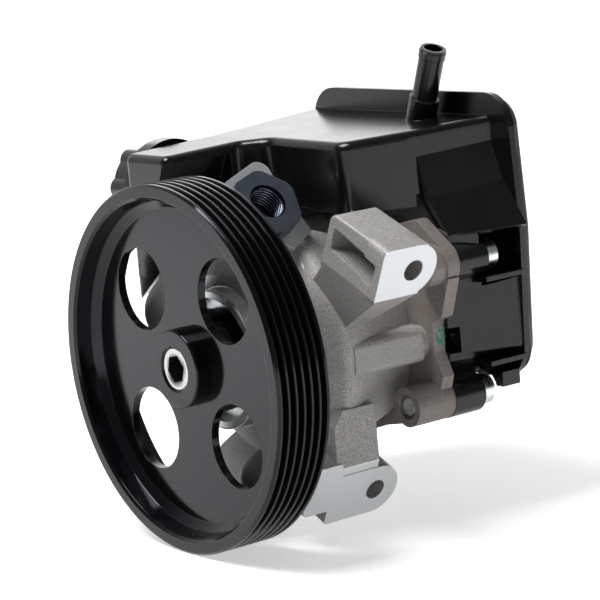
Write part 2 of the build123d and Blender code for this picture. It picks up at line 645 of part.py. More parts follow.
def pump_housing():
    """Die-cast aluminium housing with nose collar, ears, valve boss and cartridge bore."""
    shell = turned(
        (0, COLLAR_FRONT_Y),
        (COLLAR_RADIUS, COLLAR_FRONT_Y, 1),
        (COLLAR_RADIUS, COLLAR_FRONT_Y + COLLAR_LENGTH, 4),
        (SHOULDER_RADIUS, SHOULDER_Y, 6),
        (SHOULDER_RADIUS - 1, SHOULDER_Y + SHOULDER_LAND, 8),
        (JOINT_RADIUS, JOINT_Y),
        (0, JOINT_Y),
    )
    block = outline((30, 6), (50, 6, 3), (50, -8, 3), (30, -8))
    shell += along_shaft(block, COVER_BOSS_FRONT_Y, JOINT_Y - 3)
    for angle in COVER_BOLT_ANGLES:
        inner = disc(*polar(COVER_BOLT_PITCH_RADIUS - 8, angle), COVER_BOSS_RADIUS)
        face = hull_of(cover_bolt_face(COVER_BOSS_RADIUS, angle), inner)
        shell += along_shaft(face, COVER_BOSS_FRONT_Y + 4, JOINT_Y)
    shell += valve_boss()
    relief = Circle(COLLAR_RELIEF_RADIUS) - Circle(COLLAR_RADIUS)
    shell -= along_shaft(relief, 0, COLLAR_FRONT_Y + COLLAR_LENGTH)
    shell += upper_ear()
    shell += lower_ear()
    shell -= turned(
        (0, COLLAR_FRONT_Y - 1),
        (COLLAR_BORE_RADIUS, COLLAR_FRONT_Y - 1),
        (COLLAR_BORE_RADIUS, COLLAR_FRONT_Y + 5),
        (BEARING_RADIUS + SEAT_GAP, COLLAR_FRONT_Y + 5),
        (BEARING_RADIUS + SEAT_GAP, BEARING_FRONT_Y - RETAINING_RING_WIDTH),
        (BEARING_RADIUS + RETAINING_RING_DEPTH, BEARING_FRONT_Y - RETAINING_RING_WIDTH),
        (BEARING_RADIUS + RETAINING_RING_DEPTH, BEARING_FRONT_Y),
        (BEARING_RADIUS + SEAT_GAP, BEARING_FRONT_Y),
        (BEARING_RADIUS + SEAT_GAP, BEARING_REAR_Y),
        (SEAL_RADIUS + SEAT_GAP, BEARING_REAR_Y),
        (SEAL_RADIUS + SEAT_GAP, SEAL_REAR_Y),
        (SHAFT_HOLE_RADIUS, SEAL_REAR_Y),
        (SHAFT_HOLE_RADIUS, CARTRIDGE_FRONT_Y),
        (CARTRIDGE_BORE_RADIUS, CARTRIDGE_FRONT_Y),
        (CARTRIDGE_BORE_RADIUS, JOINT_Y + 1),
        (0, JOINT_Y + 1),
    )
    for index in range(COLLAR_NOTCH_COUNT):
        notch = Pos(COLLAR_RADIUS, 0) * Rectangle(10, COLLAR_NOTCH_WIDTH)
        notch = Rot(0, 0, COLLAR_NOTCH_ANGLE + index * 360 / COLLAR_NOTCH_COUNT) * notch
        shell -= along_shaft(notch, COLLAR_FRONT_Y - 1, COLLAR_FRONT_Y + COLLAR_NOTCH_DEPTH)
    shell -= port_holes()
    shell -= ear_hole(UPPER_EAR_Y, UPPER_EAR_HEIGHT, EAR_THICKNESS + 5)
    shell -= ear_hole(LOWER_EAR_Y, LOWER_EAR_HEIGHT, EAR_THICKNESS + 1)
    for angle in COVER_BOLT_ANGLES:
        hole = cover_bolt_face(COVER_BOLT_RADIUS + SEAT_GAP, angle)
        shell -= along_shaft(hole, JOINT_Y - COVER_BOLT_GRIP, JOINT_Y + 1)
    return shell - valve_head_blank()


def valve_head():
    """The casting's valve boss outside the shaft's axis, with the pad round the port."""
    return valve_head_blank() - port_holes()


def rotor():
    """Slotted rotor with a splined bore."""
    face = Circle(ROTOR_RADIUS) - spline_face(SEAT_GAP)
    slot_start = SLOT_FLOOR_RADIUS
    slot = Pos(slot_start + 10, 0) * Rectangle(20, VANE_THICKNESS + 2 * RUNNING_GAP)
    slot += Pos(slot_start, 0) * Circle(SLOT_RELIEF_RADIUS)
    for index in range(VANE_COUNT):
        face -= Rot(0, 0, vane_angle(index)) * slot
    return along_shaft(face, CAM_FRONT_Y + RUNNING_GAP, CAM_REAR_Y - RUNNING_GAP)


def vane_angle(index):
    """The angle of a vane about the shaft."""
    return VANE_START_ANGLE + index * 360 / VANE_COUNT


def vane(index):
    """One vane, drawn in to the cam's smallest radius."""
    tip = ROTOR_RADIUS - RUNNING_GAP
    face = Pos(tip - VANE_HEIGHT / 2, 0) * Rectangle(VANE_HEIGHT, VANE_THICKNESS)
    face &= Circle(tip)
    turned_face = Rot(0, 0, vane_angle(index)) * face
    return along_shaft(turned_face, CAM_FRONT_Y + RUNNING_GAP, CAM_REAR_Y - RUNNING_GAP)


def cam_radius(angle):
    """The cam ring's inner radius: two equal lobes about the shaft."""
    middle = (CAM_MINOR_RADIUS + CAM_MAJOR_RADIUS) / 2
    swing = (CAM_MAJOR_RADIUS - CAM_MINOR_RADIUS) / 2
    return middle - swing * cos(radians(2 * angle))


def cam_ring():
    """Hardened ring whose inner track pushes the vanes in and lets them out twice a turn."""
    points = [polar(cam_radius(angle), angle) for angle in range(0, 360, 15)]
    track = make_face(Spline(*points, periodic=True))
    face = Circle(CARTRIDGE_BORE_RADIUS - 0.2) - track
    for angle in dowel_angles():
        face -= disc(*polar(DOWEL_PITCH_RADIUS, angle), DOWEL_RADIUS + SEAT_GAP)
    return along_shaft(face, CAM_FRONT_Y, CAM_REAR_Y)


def dowel_angles():
    """The angles of the two dowel pins."""
    return 20, 200


def pressure_plate(front, rear, port_side):
    """A round plate with kidney ports that closes one side of the cam ring."""
    face = Circle(CARTRIDGE_BORE_RADIUS - SEAT_GAP) - Circle(SHAFT_HOLE_RADIUS)
    plate = along_shaft(face, front, rear)
    for angle in dowel_angles():
        hole = disc(*polar(DOWEL_PITCH_RADIUS, angle), DOWEL_RADIUS + SEAT_GAP)
        plate -= along_shaft(hole, CAM_FRONT_Y - DOWEL_REACH, CAM_REAR_Y + DOWEL_REACH)
    for angle in (45, 135, 225, 315):
        kidney = SlotArc(CenterArc((0, 0), PORT_SLOT_RADIUS + 4, angle - 15, 30), 3)
        plate -= along_shaft(kidney, port_side - 2, port_side + 2)
    return plate


def dowel_pins():
    """Two pins that line up the cam ring and the plates."""
    start = CAM_FRONT_Y - DOWEL_REACH + CLEAR_GAP
    end = CAM_REAR_Y + DOWEL_REACH - CLEAR_GAP
    pins = []
    for angle in dowel_angles():
        face = disc(*polar(DOWEL_PITCH_RADIUS, angle), DOWEL_RADIUS)
        pins.append(along_shaft(face, start, end))
    return Compound(pins)


def plate_spring():
    """Conical spring washer between the rear plate and the cover."""
    inner = CARTRIDGE_BORE_RADIUS - 3 - PLATE_SPRING_WIDTH
    outer = CARTRIDGE_BORE_RADIUS - 3
    return turned(
        (inner, JOINT_Y - PLATE_SPRING_THICKNESS),
        (inner, JOINT_Y),
        (inner + 0.5, JOINT_Y),
        (outer, REAR_PLATE_REAR_Y + PLATE_SPRING_THICKNESS),
        (outer, REAR_PLATE_REAR_Y),
        (outer - 0.5, REAR_PLATE_REAR_Y),
    )


def rotor_ring():
    """Small ring that keeps the rotor on the shaft."""
    face = Circle(SHAFT_SPLINE_TIP_RADIUS + 0.3) - Circle(SHAFT_TAIL_RADIUS + SEAT_GAP)
    face -= Pos(0, SHAFT_SPLINE_TIP_RADIUS) * Rectangle(4, 6)
    return along_shaft(face, CAM_REAR_Y, CAM_REAR_Y + 1 - SEAT_GAP)


def shaft_bush():
    """Plain bush for the rear journal."""
    face = Circle(BUSH_RADIUS) - Circle(SHAFT_TAIL_RADIUS + RUNNING_GAP)
    return along_shaft(face, JOINT_Y + 0.5, COVER_REAR_Y)


def cover_face():
    """Outline of the rear cover, with a lobe for each screw and each bolt."""
    upper = disc(*SCREW_PLACES[0], SCREW_LOBE_RADIUS + 0.8)
    lower = disc(*SCREW_PLACES[1], SCREW_LOBE_RADIUS)
    left = disc(*SCREW_PLACES[2], SCREW_LOBE_RADIUS)
    face = Circle(COVER_RADIUS) + hull_of(left, Circle(20))
    face += hull_of(upper, disc(46, 43, 5), disc(10, 20, 20))
    waist = ((58.5, 9.9, 2), (52.8, 8, 2), (52.3, -4.5, 2))
    face += outline((30, 15), (64.5, 26), *waist, (56.5, -14), (50, -32), (20, -20))
    face += hull_of(lower, disc(18, -18, 20))
    for angle in COVER_BOLT_ANGLES[1:]:
        face += cover_bolt_face(COVER_BOSS_RADIUS, angle)
    return face


def rear_cover():
    """Cast rear cover with screw lobes, the shaft bush and the suction neck."""
    cover = along_shaft(cover_face(), JOINT_Y, COVER_REAR_Y)
    neck_end = COVER_REAR_Y + NECK_LENGTH
    rim = (NECK_RADIUS, neck_end, 0.8)
    cover += turned((0, COVER_REAR_Y), (NECK_RADIUS, COVER_REAR_Y), rim, (0, neck_end))
    for place, front in zip(SCREW_PLACES, SCREW_LOBE_FRONT_Y):
        cover += along_shaft(disc(*place, SCREW_LOBE_RADIUS), front, COVER_REAR_Y)
        cover -= along_shaft(disc(*place, SCREW_RADIUS + SEAT_GAP), front - 1, COVER_REAR_Y + 1)
        cover -= along_shaft(disc(*place, SCREW_RADIUS + 1.4), front - 1, front + 2)
    groove = Circle(JOINT_RADIUS) - Circle(COVER_LAND_RADIUS)
    cover -= along_shaft(groove, JOINT_Y - 1, JOINT_Y + O_RING_GROOVE)
    cover -= along_shaft(Circle(NECK_BORE_RADIUS), COVER_REAR_Y, neck_end + 1)
    cover -= along_shaft(Circle(BUSH_RADIUS + SEAT_GAP), JOINT_Y - 1, COVER_REAR_Y + 1)
    for index in range(SUCTION_HOLE_COUNT):
        centre = polar(SUCTION_HOLE_PITCH_RADIUS, index * 360 / SUCTION_HOLE_COUNT)
        hole = disc(*centre, SUCTION_HOLE_RADIUS)
        cover -= along_shaft(hole, JOINT_Y - 1, COVER_REAR_Y + 1)
    ring_front = WELL_Y + 0.3
    groove = Circle(NECK_RADIUS + 1) - Circle(NECK_RADIUS - SUCTION_RING_DEPTH)
    cover -= along_shaft(groove, ring_front, ring_front + SUCTION_RING_GROOVE)
    for angle in COVER_BOLT_ANGLES:
        hole = cover_bolt_face(COVER_BOLT_RADIUS + SEAT_GAP, angle)
        cover -= along_shaft(hole, JOINT_Y - 1, COVER_REAR_Y + 1)
    return cover


def ring_of_wire(radius, wire_radius, y):
    """A round ring of round section about the shaft."""
    return revolve(Pos(radius, y) * Circle(wire_radius), Axis.Y)


def housing_o_ring():
    """Ring squeezed in the joint between the housing and the cover."""
    radius = COVER_LAND_RADIUS + O_RING_GROOVE / 2
    return ring_of_wire(radius, O_RING_WIRE_RADIUS, JOINT_Y + O_RING_GROOVE / 2)


def suction_o_ring():
    """Ring in the neck's groove, against the reservoir's bore."""
    wire = (SUCTION_RING_DEPTH - SEAT_GAP) / 2
    middle = WELL_Y + 0.3 + SUCTION_RING_GROOVE / 2
    return ring_of_wire(NECK_RADIUS - SUCTION_RING_DEPTH / 2 + SEAT_GAP / 2, wire, middle)


def cover_bolts():
    """Zinc-plated hexagon bolts that hold the cover to the housing."""
    bolts = []
    for angle in COVER_BOLT_ANGLES:
        x, z = polar(COVER_BOLT_PITCH_RADIUS, angle)
        shank = along_shaft(disc(x, z, COVER_BOLT_RADIUS), COVER_REAR_Y - COVER_BOLT_GRIP, COVER_REAR_Y)
        face = Pos(x, z) * hexagon(COVER_BOLT_HEAD_FLATS)
        head = along_shaft(face, COVER_REAR_Y, COVER_REAR_Y + COVER_BOLT_HEAD_HEIGHT)
        bolts.append(shank + head)
    return Compound(bolts)


def pressure_port_union():
    """Dark steel union with a hexagon, a threaded shank and a threaded port."""
    bar = port_round(UNION_CORNER_RADIUS, PAD_LEVEL, UNION_TOP)
    flats = RegularPolygon(UNION_FLATS / 2, 6, major_radius=False, rotation=20)
    bar &= prism(PORT_PLANE, Pos(PORT_Y, PORT_OFFSET) * flats, PAD_LEVEL, UNION_TOP)
    bar += port_round(UNION_SHANK_RADIUS, PAD_LEVEL - UNION_SHANK_LENGTH, PAD_LEVEL)
    bar -= port_round(PORT_THREAD_RADIUS, UNION_TOP - PORT_THREAD_DEPTH, UNION_TOP + 1)
    bar -= port_round(PORT_PASSAGE_RADIUS, PAD_LEVEL - UNION_SHANK_LENGTH - 1, UNION_TOP)
    return bar


def union_seal():
    """Sealing washer under the union, in a spot face."""
    washer = Circle(UNION_SEAL_RADIUS) - Circle(UNION_SHANK_RADIUS + SEAT_GAP)
    return prism(PORT_PLANE, Pos(PORT_Y, PORT_OFFSET) * washer, PAD_LEVEL - UNION_SEAL_THICKNESS, PAD_LEVEL)


def flow_control_spool():
    """Spool with grooves and a nose, sliding in the valve bore."""
    end = SPOOL_START + SPOOL_LENGTH
    spool = port_round(VALVE_BORE_RADIUS - RUNNING_GAP, SPOOL_START, end)
    for middle in (SPOOL_START + 6, SPOOL_START + 10, SPOOL_START + 18):
        waist = Circle(VALVE_BORE_RADIUS + 1) - Circle(VALVE_BORE_RADIUS - 1.2)
        spool -= prism(PORT_PLANE, Pos(PORT_Y, PORT_OFFSET) * waist, middle - 1, middle + 1)
    return spool


def flow_control_spring():
    """Coil spring between the blind end of the bore and the spool."""
    length = SPOOL_START - VALVE_BORE_END
    pitch = (length - 2 * SPRING_WIRE_RADIUS - 0.4) / SPRING_TURNS
    path = Helix(pitch, pitch * SPRING_TURNS, SPRING_RADIUS)
    start = Plane(origin=path @ 0, z_dir=path % 0)
    coil = sweep(start * Circle(SPRING_WIRE_RADIUS), path, is_frenet=True)
    place = PORT_PLANE.offset(VALVE_BORE_END + SPRING_WIRE_RADIUS + 0.2)
    return place.location * Pos(PORT_Y, PORT_OFFSET, 0) * coil


def tank_plan(inset):
    """The reservoir's deck seen from above, its walls moved in by an inset."""
    plan = outline(
        (TANK_LEFT_X, TANK_FRONT_Y, 4),
        (BLOCK_RIGHT_X, TANK_FRONT_Y, 4),
        (BLOCK_RIGHT_X + 2, DECK_FRONT_Y - 7, 5),
        (BLOCK_RIGHT_X + 11, DECK_FRONT_Y + 2, 9),
        (DECK_RIGHT_X, DECK_FRONT_Y, 8),
        (DECK_RIGHT_X + 14, BACK_FRONT_Y, 30),
        (DECK_RIGHT_X + 25, FLANGE_Y),
        (TANK_LEFT_X + 2, FLANGE_Y),
    )
    return offset(plan, -inset) if inset else plan


def tank_deck(inset):
    """The deck's block, with a top that climbs to the rear and rounded top edges."""
    side = outline(
        (TANK_FRONT_Y - 1, TANK_FLOOR_Z + inset),
        (TANK_FRONT_Y - 1, TANK_FRONT_TOP_Z - inset),
        (DECK_FRONT_Y, TANK_TOP_Z - inset, 60),
        (FLANGE_Y + 1, TANK_REAR_TOP_Z - inset),
        (FLANGE_Y + 1, TANK_FLOOR_Z + inset),
    )
    slab = extrude(Plane.YZ.offset(TANK_LEFT_X - 1) * side, 130, dir=(1, 0, 0))
    deck = slab & prism(Plane.XY, tank_plan(inset), TANK_FLOOR_Z, TANK_REAR_TOP_Z + 1)
    rim = [edge for edge in deck.edges() if is_roof_rim(edge, inset)]
    return fillet(rim, TANK_ROUNDING - inset / 2)


def is_roof_rim(edge, inset):
    """True for an edge where the deck's roof meets a wall, short of the flange."""
    ends = edge.vertices()
    lowest = min(vertex.Z for vertex in ends)
    if lowest < TANK_FRONT_TOP_Z - inset - 1 or edge.center().Y > FLANGE_Y - 0.1:
        return False
    half_deck = (DECK_RIGHT_X - TANK_LEFT_X) / 2
    runs_across = len(ends) == 2 and abs(ends[0].X - ends[1].X) > half_deck
    return edge.length > 0.5 and not runs_across


def back_outline(shoulder_x, wall_x, floor_x, top_z, inset):
    """A section of the reservoir's rear block, seen from the front."""
    left = TANK_LEFT_X + 2 + inset
    floor = TANK_FLOOR_Z + inset
    return outline(
        (left, floor, 10),
        (floor_x - inset, floor, 7),
        (wall_x - inset, -8, 4),
        (wall_x - inset, 42 - inset, 6),
        (shoulder_x - inset, 58, 6),
        (shoulder_x - inset, top_z - inset, 5),
        (left, top_z - inset, 4),
    )


def tank_mouth(inset):
    """The section of the tank where it meets the flange."""
    right = DECK_RIGHT_X + MOUTH_REACH
    return back_outline(right, BACK_RIGHT_X + BACK_FLARE, 50, TANK_REAR_TOP_Z - 1, inset)


def tank_back(inset):
    """The rear block, whose right wall flares out toward the flange."""
    front = SHAFT_PLANE.offset(-(BACK_FRONT_Y + inset))
    rear = SHAFT_PLANE.offset(-FLANGE_Y)
    narrow = back_outline(DECK_RIGHT_X + BACK_REACH, BACK_RIGHT_X, 44, TANK_TOP_Z - 1, inset)
    return loft([rear * tank_mouth(inset), front * narrow])


def tank_form(inset):
    """The reservoir's closed outer form, or its hollow when inset by the wall."""
    form = tank_deck(inset)
    belly = outline(
        (TANK_LEFT_X - 20, BLOCK_FLOOR_Z),
        (TANK_LEFT_X, BLOCK_FLOOR_Z),
        (0, DECK_FLOOR_Z),
        (90, DECK_FLOOR_Z),
        (90, TANK_FLOOR_Z - 20),
        (TANK_LEFT_X - 20, TANK_FLOOR_Z - 20),
    )
    form -= along_shaft(offset(belly, inset) if inset else belly, 0, BACK_FRONT_Y + inset)
    form -= along_shaft(Circle(ARCH_RADIUS + inset), 0, WELL_Y + inset)
    form -= port_round(VALVE_BULB_RADIUS + VALVE_CHANNEL_GAP + inset, -120, 120)
    foot_x = BLOCK_RIGHT_X - BLOCK_NOTCH_DEPTH
    notch = outline(
        (0, BLOCK_NOTCH_TOP_Z),
        (BLOCK_RIGHT_X - 2, BLOCK_NOTCH_TOP_Z),
        (foot_x, BLOCK_NOTCH_TOP_Z - 18),
        (foot_x, 0),
        (0, 0),
    )
    form -= along_shaft(offset(notch, inset) if inset else notch, 0, DECK_FRONT_Y - 11 + inset)
    form += tank_back(inset)
    if inset:
        form += along_shaft(tank_mouth(inset), FLANGE_Y - inset, LID_FRONT_Y + 1)
    form -= along_shaft(Circle(ARCH_RADIUS + inset), BACK_FRONT_Y - 1, WELL_Y + inset)
    gap = COVER_BOLT_HEAD_FLATS / 2 + CLEAR_GAP + inset
    bolt_z = polar(COVER_BOLT_PITCH_RADIUS, COVER_BOLT_ANGLES[0])[1]
    relief_middle = COVER_BOLT_PITCH_RADIUS + (BOLT_RELIEF_OUTSIDE - BOLT_RELIEF_INSIDE) / 2
    relief = Pos(relief_middle, bolt_z) * Rectangle(BOLT_RELIEF_OUTSIDE + BOLT_RELIEF_INSIDE, 2 * gap)
    form -= along_shaft(relief, BACK_FRONT_Y - 1, WELL_Y + inset)
    for place in SCREW_PLACES:
        groove = disc(*place, SCREW_GROOVE_RADIUS + inset)
        form -= along_shaft(groove, SCREW_HEAD_Y - inset, LID_FRONT_Y + 2)
        if inset:
            form -= along_shaft(disc(*place, SCREW_BOSS_RADIUS), BACK_FRONT_Y, SCREW_HEAD_Y)
    return form


def flange_face():
    """Outline of the reservoir's rear flange."""
    return outline(
        (FLANGE_LEFT_X, FLANGE_FLOOR_Z, FLANGE_CORNER),
        (FLANGE_RIGHT_X - 3, FLANGE_FLOOR_Z, FLANGE_CORNER + 2),
        (FLANGE_RIGHT_X, 40, 60),
        (FLANGE_RIGHT_X - 3, FLANGE_TOP_Z, FLANGE_CORNER),
        (FLANGE_LEFT_X, FLANGE_TOP_Z, FLANGE_CORNER),
    )


def nipple_bar(radius, start, end):
    """A round bar on the return nipple's leaning axis."""
    plane = Plane(origin=NIPPLE_BASE, z_dir=(sin(radians(NIPPLE_LEAN)), 0, cos(radians(NIPPLE_LEAN))))
    return prism(plane, Circle(radius), start, end)


def deflector_shield():
    """Thin folded plate over the upper screw boss, in two flat facets, with a web down to the boss."""
    top = SHIELD_FRONT[0]
    fold = SHIELD_FRONT[1]
    foot = SHIELD_FRONT[2]
    shift_x, shift_z = SHIELD_SHIFT
    rear_fold = (fold[0] + shift_x, fold[1] + shift_z)
    rear_top = (top[0] + shift_x, top[1] + shift_z)
    rear_foot_x = rear_fold[0] + SHIELD_FOOT_GROWTH * (foot[0] - fold[0])
    rear_foot = (rear_foot_x, rear_fold[1] + SHIELD_FOOT_GROWTH * (foot[1] - fold[1]))
    plate = lofted_strip((top, fold), (rear_top, rear_fold))
    plate += lofted_strip((fold, foot), (rear_fold, rear_foot))
    boss_x, boss_z = SCREW_PLACES[0]
    start = boss_x - 3
    front = outline((start, boss_z), (foot[0], boss_z), (foot[0], foot[1] + 0.5), (start, foot[1] + 3))
    flare = SHIELD_WEB_FLARE
    rear = outline(
        (start, boss_z),
        (foot[0] + flare, boss_z),
        (foot[0] + flare, foot[1] + 1.5),
        (start, foot[1] + 4),
    )
    near = SHAFT_PLANE.offset(-BACK_FRONT_Y)
    far = SHAFT_PLANE.offset(-BACK_FRONT_Y - SHIELD_WEB_LENGTH)
    return plate + loft([far * rear, near * front])


def lofted_strip(front, rear):
    """A flat plate between a line at the rear block's front and one at the flange."""
    faces = []
    for plane_y, (start, end) in ((BACK_FRONT_Y + 1, front), (FLANGE_Y, rear)):
        back_z = 0.6 * SHIELD_THICKNESS
        back_end = (end[0] - SHIELD_THICKNESS, end[1] - back_z)
        strip = outline(start, end, back_end, (start[0] - SHIELD_THICKNESS, start[1] - back_z))
        faces.append(SHAFT_PLANE.offset(-plane_y) * strip)
    return loft(faces)


def reservoir_body():
    """Moulded reservoir wrapped over the pump, with bosses, ribs, nipple, neck and shield."""
    body = tank_form(0)
    body += along_shaft(flange_face(), FLANGE_Y, LID_FRONT_Y)
    body += deflector_shield()
    for place in SCREW_PLACES:
        body += along_shaft(disc(*place, SCREW_BOSS_RADIUS), BACK_FRONT_Y, SCREW_HEAD_Y)
    for low, high in (((54, 21), (67, 23)), ((50, -13), (66, -11))):
        root = low[0] - 6
        tip = high[0]
        rib = outline((root, low[1] - 1), (tip, high[1] - 1), (tip, high[1] + 1), (root, low[1] + 1))
        body += along_shaft(rib, SCREW_HEAD_Y - 4, FLANGE_Y)
    lug = outline((46, -14), (60, -17), (60, -23), (56, -23), (46, -18))
    body += along_shaft(lug, FLANGE_Y - 9, FLANGE_Y)
    body += nipple_bar(NIPPLE_COLLAR_RADIUS, -2, NIPPLE_COLLAR_LENGTH)
    body += nipple_bar(NIPPLE_RADIUS, 0, NIPPLE_LENGTH)
    body += nipple_bar(NIPPLE_BARB_RADIUS, NIPPLE_LENGTH - NIPPLE_BARB_LENGTH, NIPPLE_LENGTH - 1)
    body += filler_bar(FILLER_RADIUS, TANK_LEFT_X + 2, TANK_LEFT_X - FILLER_LENGTH)
    body -= tank_form(WALL)
    mark = disc(*EJECTOR_PLACE, EJECTOR_RADIUS)
    body -= along_shaft(mark, TANK_FRONT_Y - 1, TANK_FRONT_Y + EJECTOR_DEPTH)
    body -= nipple_bar(NIPPLE_BORE_RADIUS, -6, NIPPLE_LENGTH + 1)
    body -= filler_bar(FILLER_BORE_RADIUS, TANK_LEFT_X + 10, TANK_LEFT_X - FILLER_LENGTH - 1)
    body -= along_shaft(Circle(NECK_RADIUS + SEAT_GAP), WELL_Y - 1, WELL_Y + WALL + 1)
    for place in SCREW_PLACES:
        hole = disc(*place, SCREW_RADIUS + SLEEVE_WALL + 2 * SEAT_GAP)
        body -= along_shaft(hole, BACK_FRONT_Y - 1, SCREW_HEAD_Y + 1)
        body -= along_shaft(disc(*place, SCREW_HEAD_RADIUS + 1), SCREW_HEAD_Y, FLANGE_Y)
    return body


def reservoir_lid():
    """Moulded lid that closes the reservoir's rear."""
    lid = along_shaft(offset(flange_face(), -LID_INSET), LID_FRONT_Y, LID_FRONT_Y + LID_THICKNESS)
    return fillet(lid.faces().sort_by(Axis.Y)[-1].edges(), LID_ROUNDING)


def screw_sleeves():
    """Steel sleeves that stop the moulded bosses from being crushed."""
    sleeves = []
    for place in SCREW_PLACES:
        face = disc(*place, SCREW_RADIUS + SLEEVE_WALL + SEAT_GAP) - disc(*place, SCREW_RADIUS + SEAT_GAP)
        sleeves.append(along_shaft(face, BACK_FRONT_Y, SCREW_HEAD_Y))
    return Compound(sleeves)


def reservoir_screws():
    """Zinc-plated cap screws that hold the reservoir to the cover."""
    screws = []
    for place, front in zip(SCREW_PLACES, SCREW_LOBE_FRONT_Y):
        shank = along_shaft(disc(*place, SCREW_RADIUS), front + 1, SCREW_HEAD_Y)
        head = along_shaft(disc(*place, SCREW_HEAD_RADIUS), SCREW_HEAD_Y, SCREW_HEAD_Y + SCREW_HEAD_HEIGHT)
        key = Pos(*place) * hexagon(SCREW_SOCKET_FLATS)
        socket = along_shaft(key, SCREW_HEAD_Y + 3, SCREW_HEAD_Y + SCREW_HEAD_HEIGHT + 1)
        screws.append(shank + head - socket)
    return Compound(screws)


def filler_bar(radius, start_x, end_x):
    """A round bar on the filler cap's axis between two x values."""
    plane = Plane(origin=(start_x, CAP_Y, CAP_Z), x_dir=(0, -1, 0), z_dir=(-1, 0, 0))
    return extrude(plane * Circle(radius), start_x - end_x, dir=(-1, 0, 0))


def filler_cap():
    """Moulded cap with a flange and a lobed grip, hollow behind."""
    seat_x = TANK_LEFT_X - FILLER_LENGTH - GASKET_THICKNESS
    flange_x = TANK_LEFT_X - 1.0
    crown_x = seat_x - CAP_WALL - CAP_GRIP_LENGTH
    cap = filler_bar(CAP_FLANGE_RADIUS, flange_x, seat_x - CAP_WALL)
    cap += filler_bar(CAP_GRIP_RADIUS - 2, seat_x, crown_x)
    plane = Plane(origin=(seat_x - CAP_WALL, CAP_Y, CAP_Z), x_dir=(0, -1, 0), z_dir=(-1, 0, 0))
    for index in range(CAP_LOBES):
        centre = polar(CAP_GRIP_RADIUS - CAP_LOBE_RADIUS, index * 360 / CAP_LOBES)
        lobe = Pos(*centre) * Circle(CAP_LOBE_RADIUS)
        cap += extrude(plane * lobe, CAP_GRIP_LENGTH, dir=(-1, 0, 0))
    cap -= filler_bar(FILLER_RADIUS + CLEAR_GAP, flange_x + 1, seat_x)
    cap -= filler_bar(FILLER_BORE_RADIUS, seat_x + 1, crown_x + CAP_WALL)
    return cap


def cap_gasket():
    """Flat gasket between the cap and the filler neck."""
    start_x = TANK_LEFT_X - FILLER_LENGTH
    ring = filler_bar(FILLER_RADIUS, start_x, start_x - GASKET_THICKNESS)
    return ring - filler_bar(FILLER_BORE_RADIUS, start_x + 1, start_x - GASKET_THICKNESS - 1)


def filter_screen():
    """Cup-shaped screen on the suction neck."""
    front = COVER_REAR_Y + NECK_LENGTH
    return turned(
        (SCREEN_RADIUS - SCREEN_WALL, front),
        (SCREEN_RADIUS, front),
        (SCREEN_RADIUS, front + SCREEN_LENGTH, 2),
        (0, front + SCREEN_LENGTH),
        (0, front + SCREEN_LENGTH - SCREEN_WALL),
        (SCREEN_RADIUS - SCREEN_WALL, front + SCREEN_LENGTH - SCREEN_WALL, 1),
    )


def all_parts():
    """Every node's name with its solid or group of solids."""
    parts = {
        "pulley": pulley(),
        "pulley_hub": pulley_hub(),
        "drive_shaft": drive_shaft(),
        "bearing_outer_race": bearing_outer_race(),
        "bearing_inner_race": bearing_inner_race(),
        "bearing_balls": bearing_balls(),
        "bearing_cage": bearing_cage(),
        "retaining_ring": retaining_ring(),
        "shaft_seal": shaft_seal(),
        "pump_housing": pump_housing(),
        "valve_head": valve_head(),
        "rotor": rotor(),
        "rotor_ring": rotor_ring(),
        "cam_ring": cam_ring(),
        "front_pressure_plate": pressure_plate(CARTRIDGE_FRONT_Y, CAM_FRONT_Y, CAM_FRONT_Y),
        "rear_pressure_plate": pressure_plate(CAM_REAR_Y, REAR_PLATE_REAR_Y, CAM_REAR_Y),
        "dowel_pins": dowel_pins(),
        "plate_spring": plate_spring(),
        "shaft_bush": shaft_bush(),
        "rear_cover": rear_cover(),
        "housing_o_ring": housing_o_ring(),
        "cover_bolts": cover_bolts(),
        "suction_o_ring": suction_o_ring(),
        "pressure_port_union": pressure_port_union(),
        "union_seal": union_seal(),
        "flow_control_spool": flow_control_spool(),
        "flow_control_spring": flow_control_spring(),
        "reservoir_body": reservoir_body(),
        "reservoir_lid": reservoir_lid(),
        "reservoir_screws": reservoir_screws(),
        "screw_sleeves": screw_sleeves(),
        "filler_cap": filler_cap(),
        "cap_gasket": cap_gasket(),
        "filter_screen": filter_screen(),
    }
    for index in range(VANE_COUNT):
        parts[f"vane_{index + 1}"] = vane(index)
    return parts


if __name__ == "__main__":
    os.makedirs("parts", exist_ok=True)
    for name, shape in all_parts().items():
        export_step(shape, f"parts/{name}.step")
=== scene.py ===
"""Looks of a vane power steering pump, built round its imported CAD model.

Everything is in metres in the part's own frame: the shaft runs along Y, the pulley is at the front (-Y),
the reservoir's lid at the rear, and +Z is the reservoir's top.
"""

import math

import bmesh
import bpy
from mathutils import Matrix, Vector


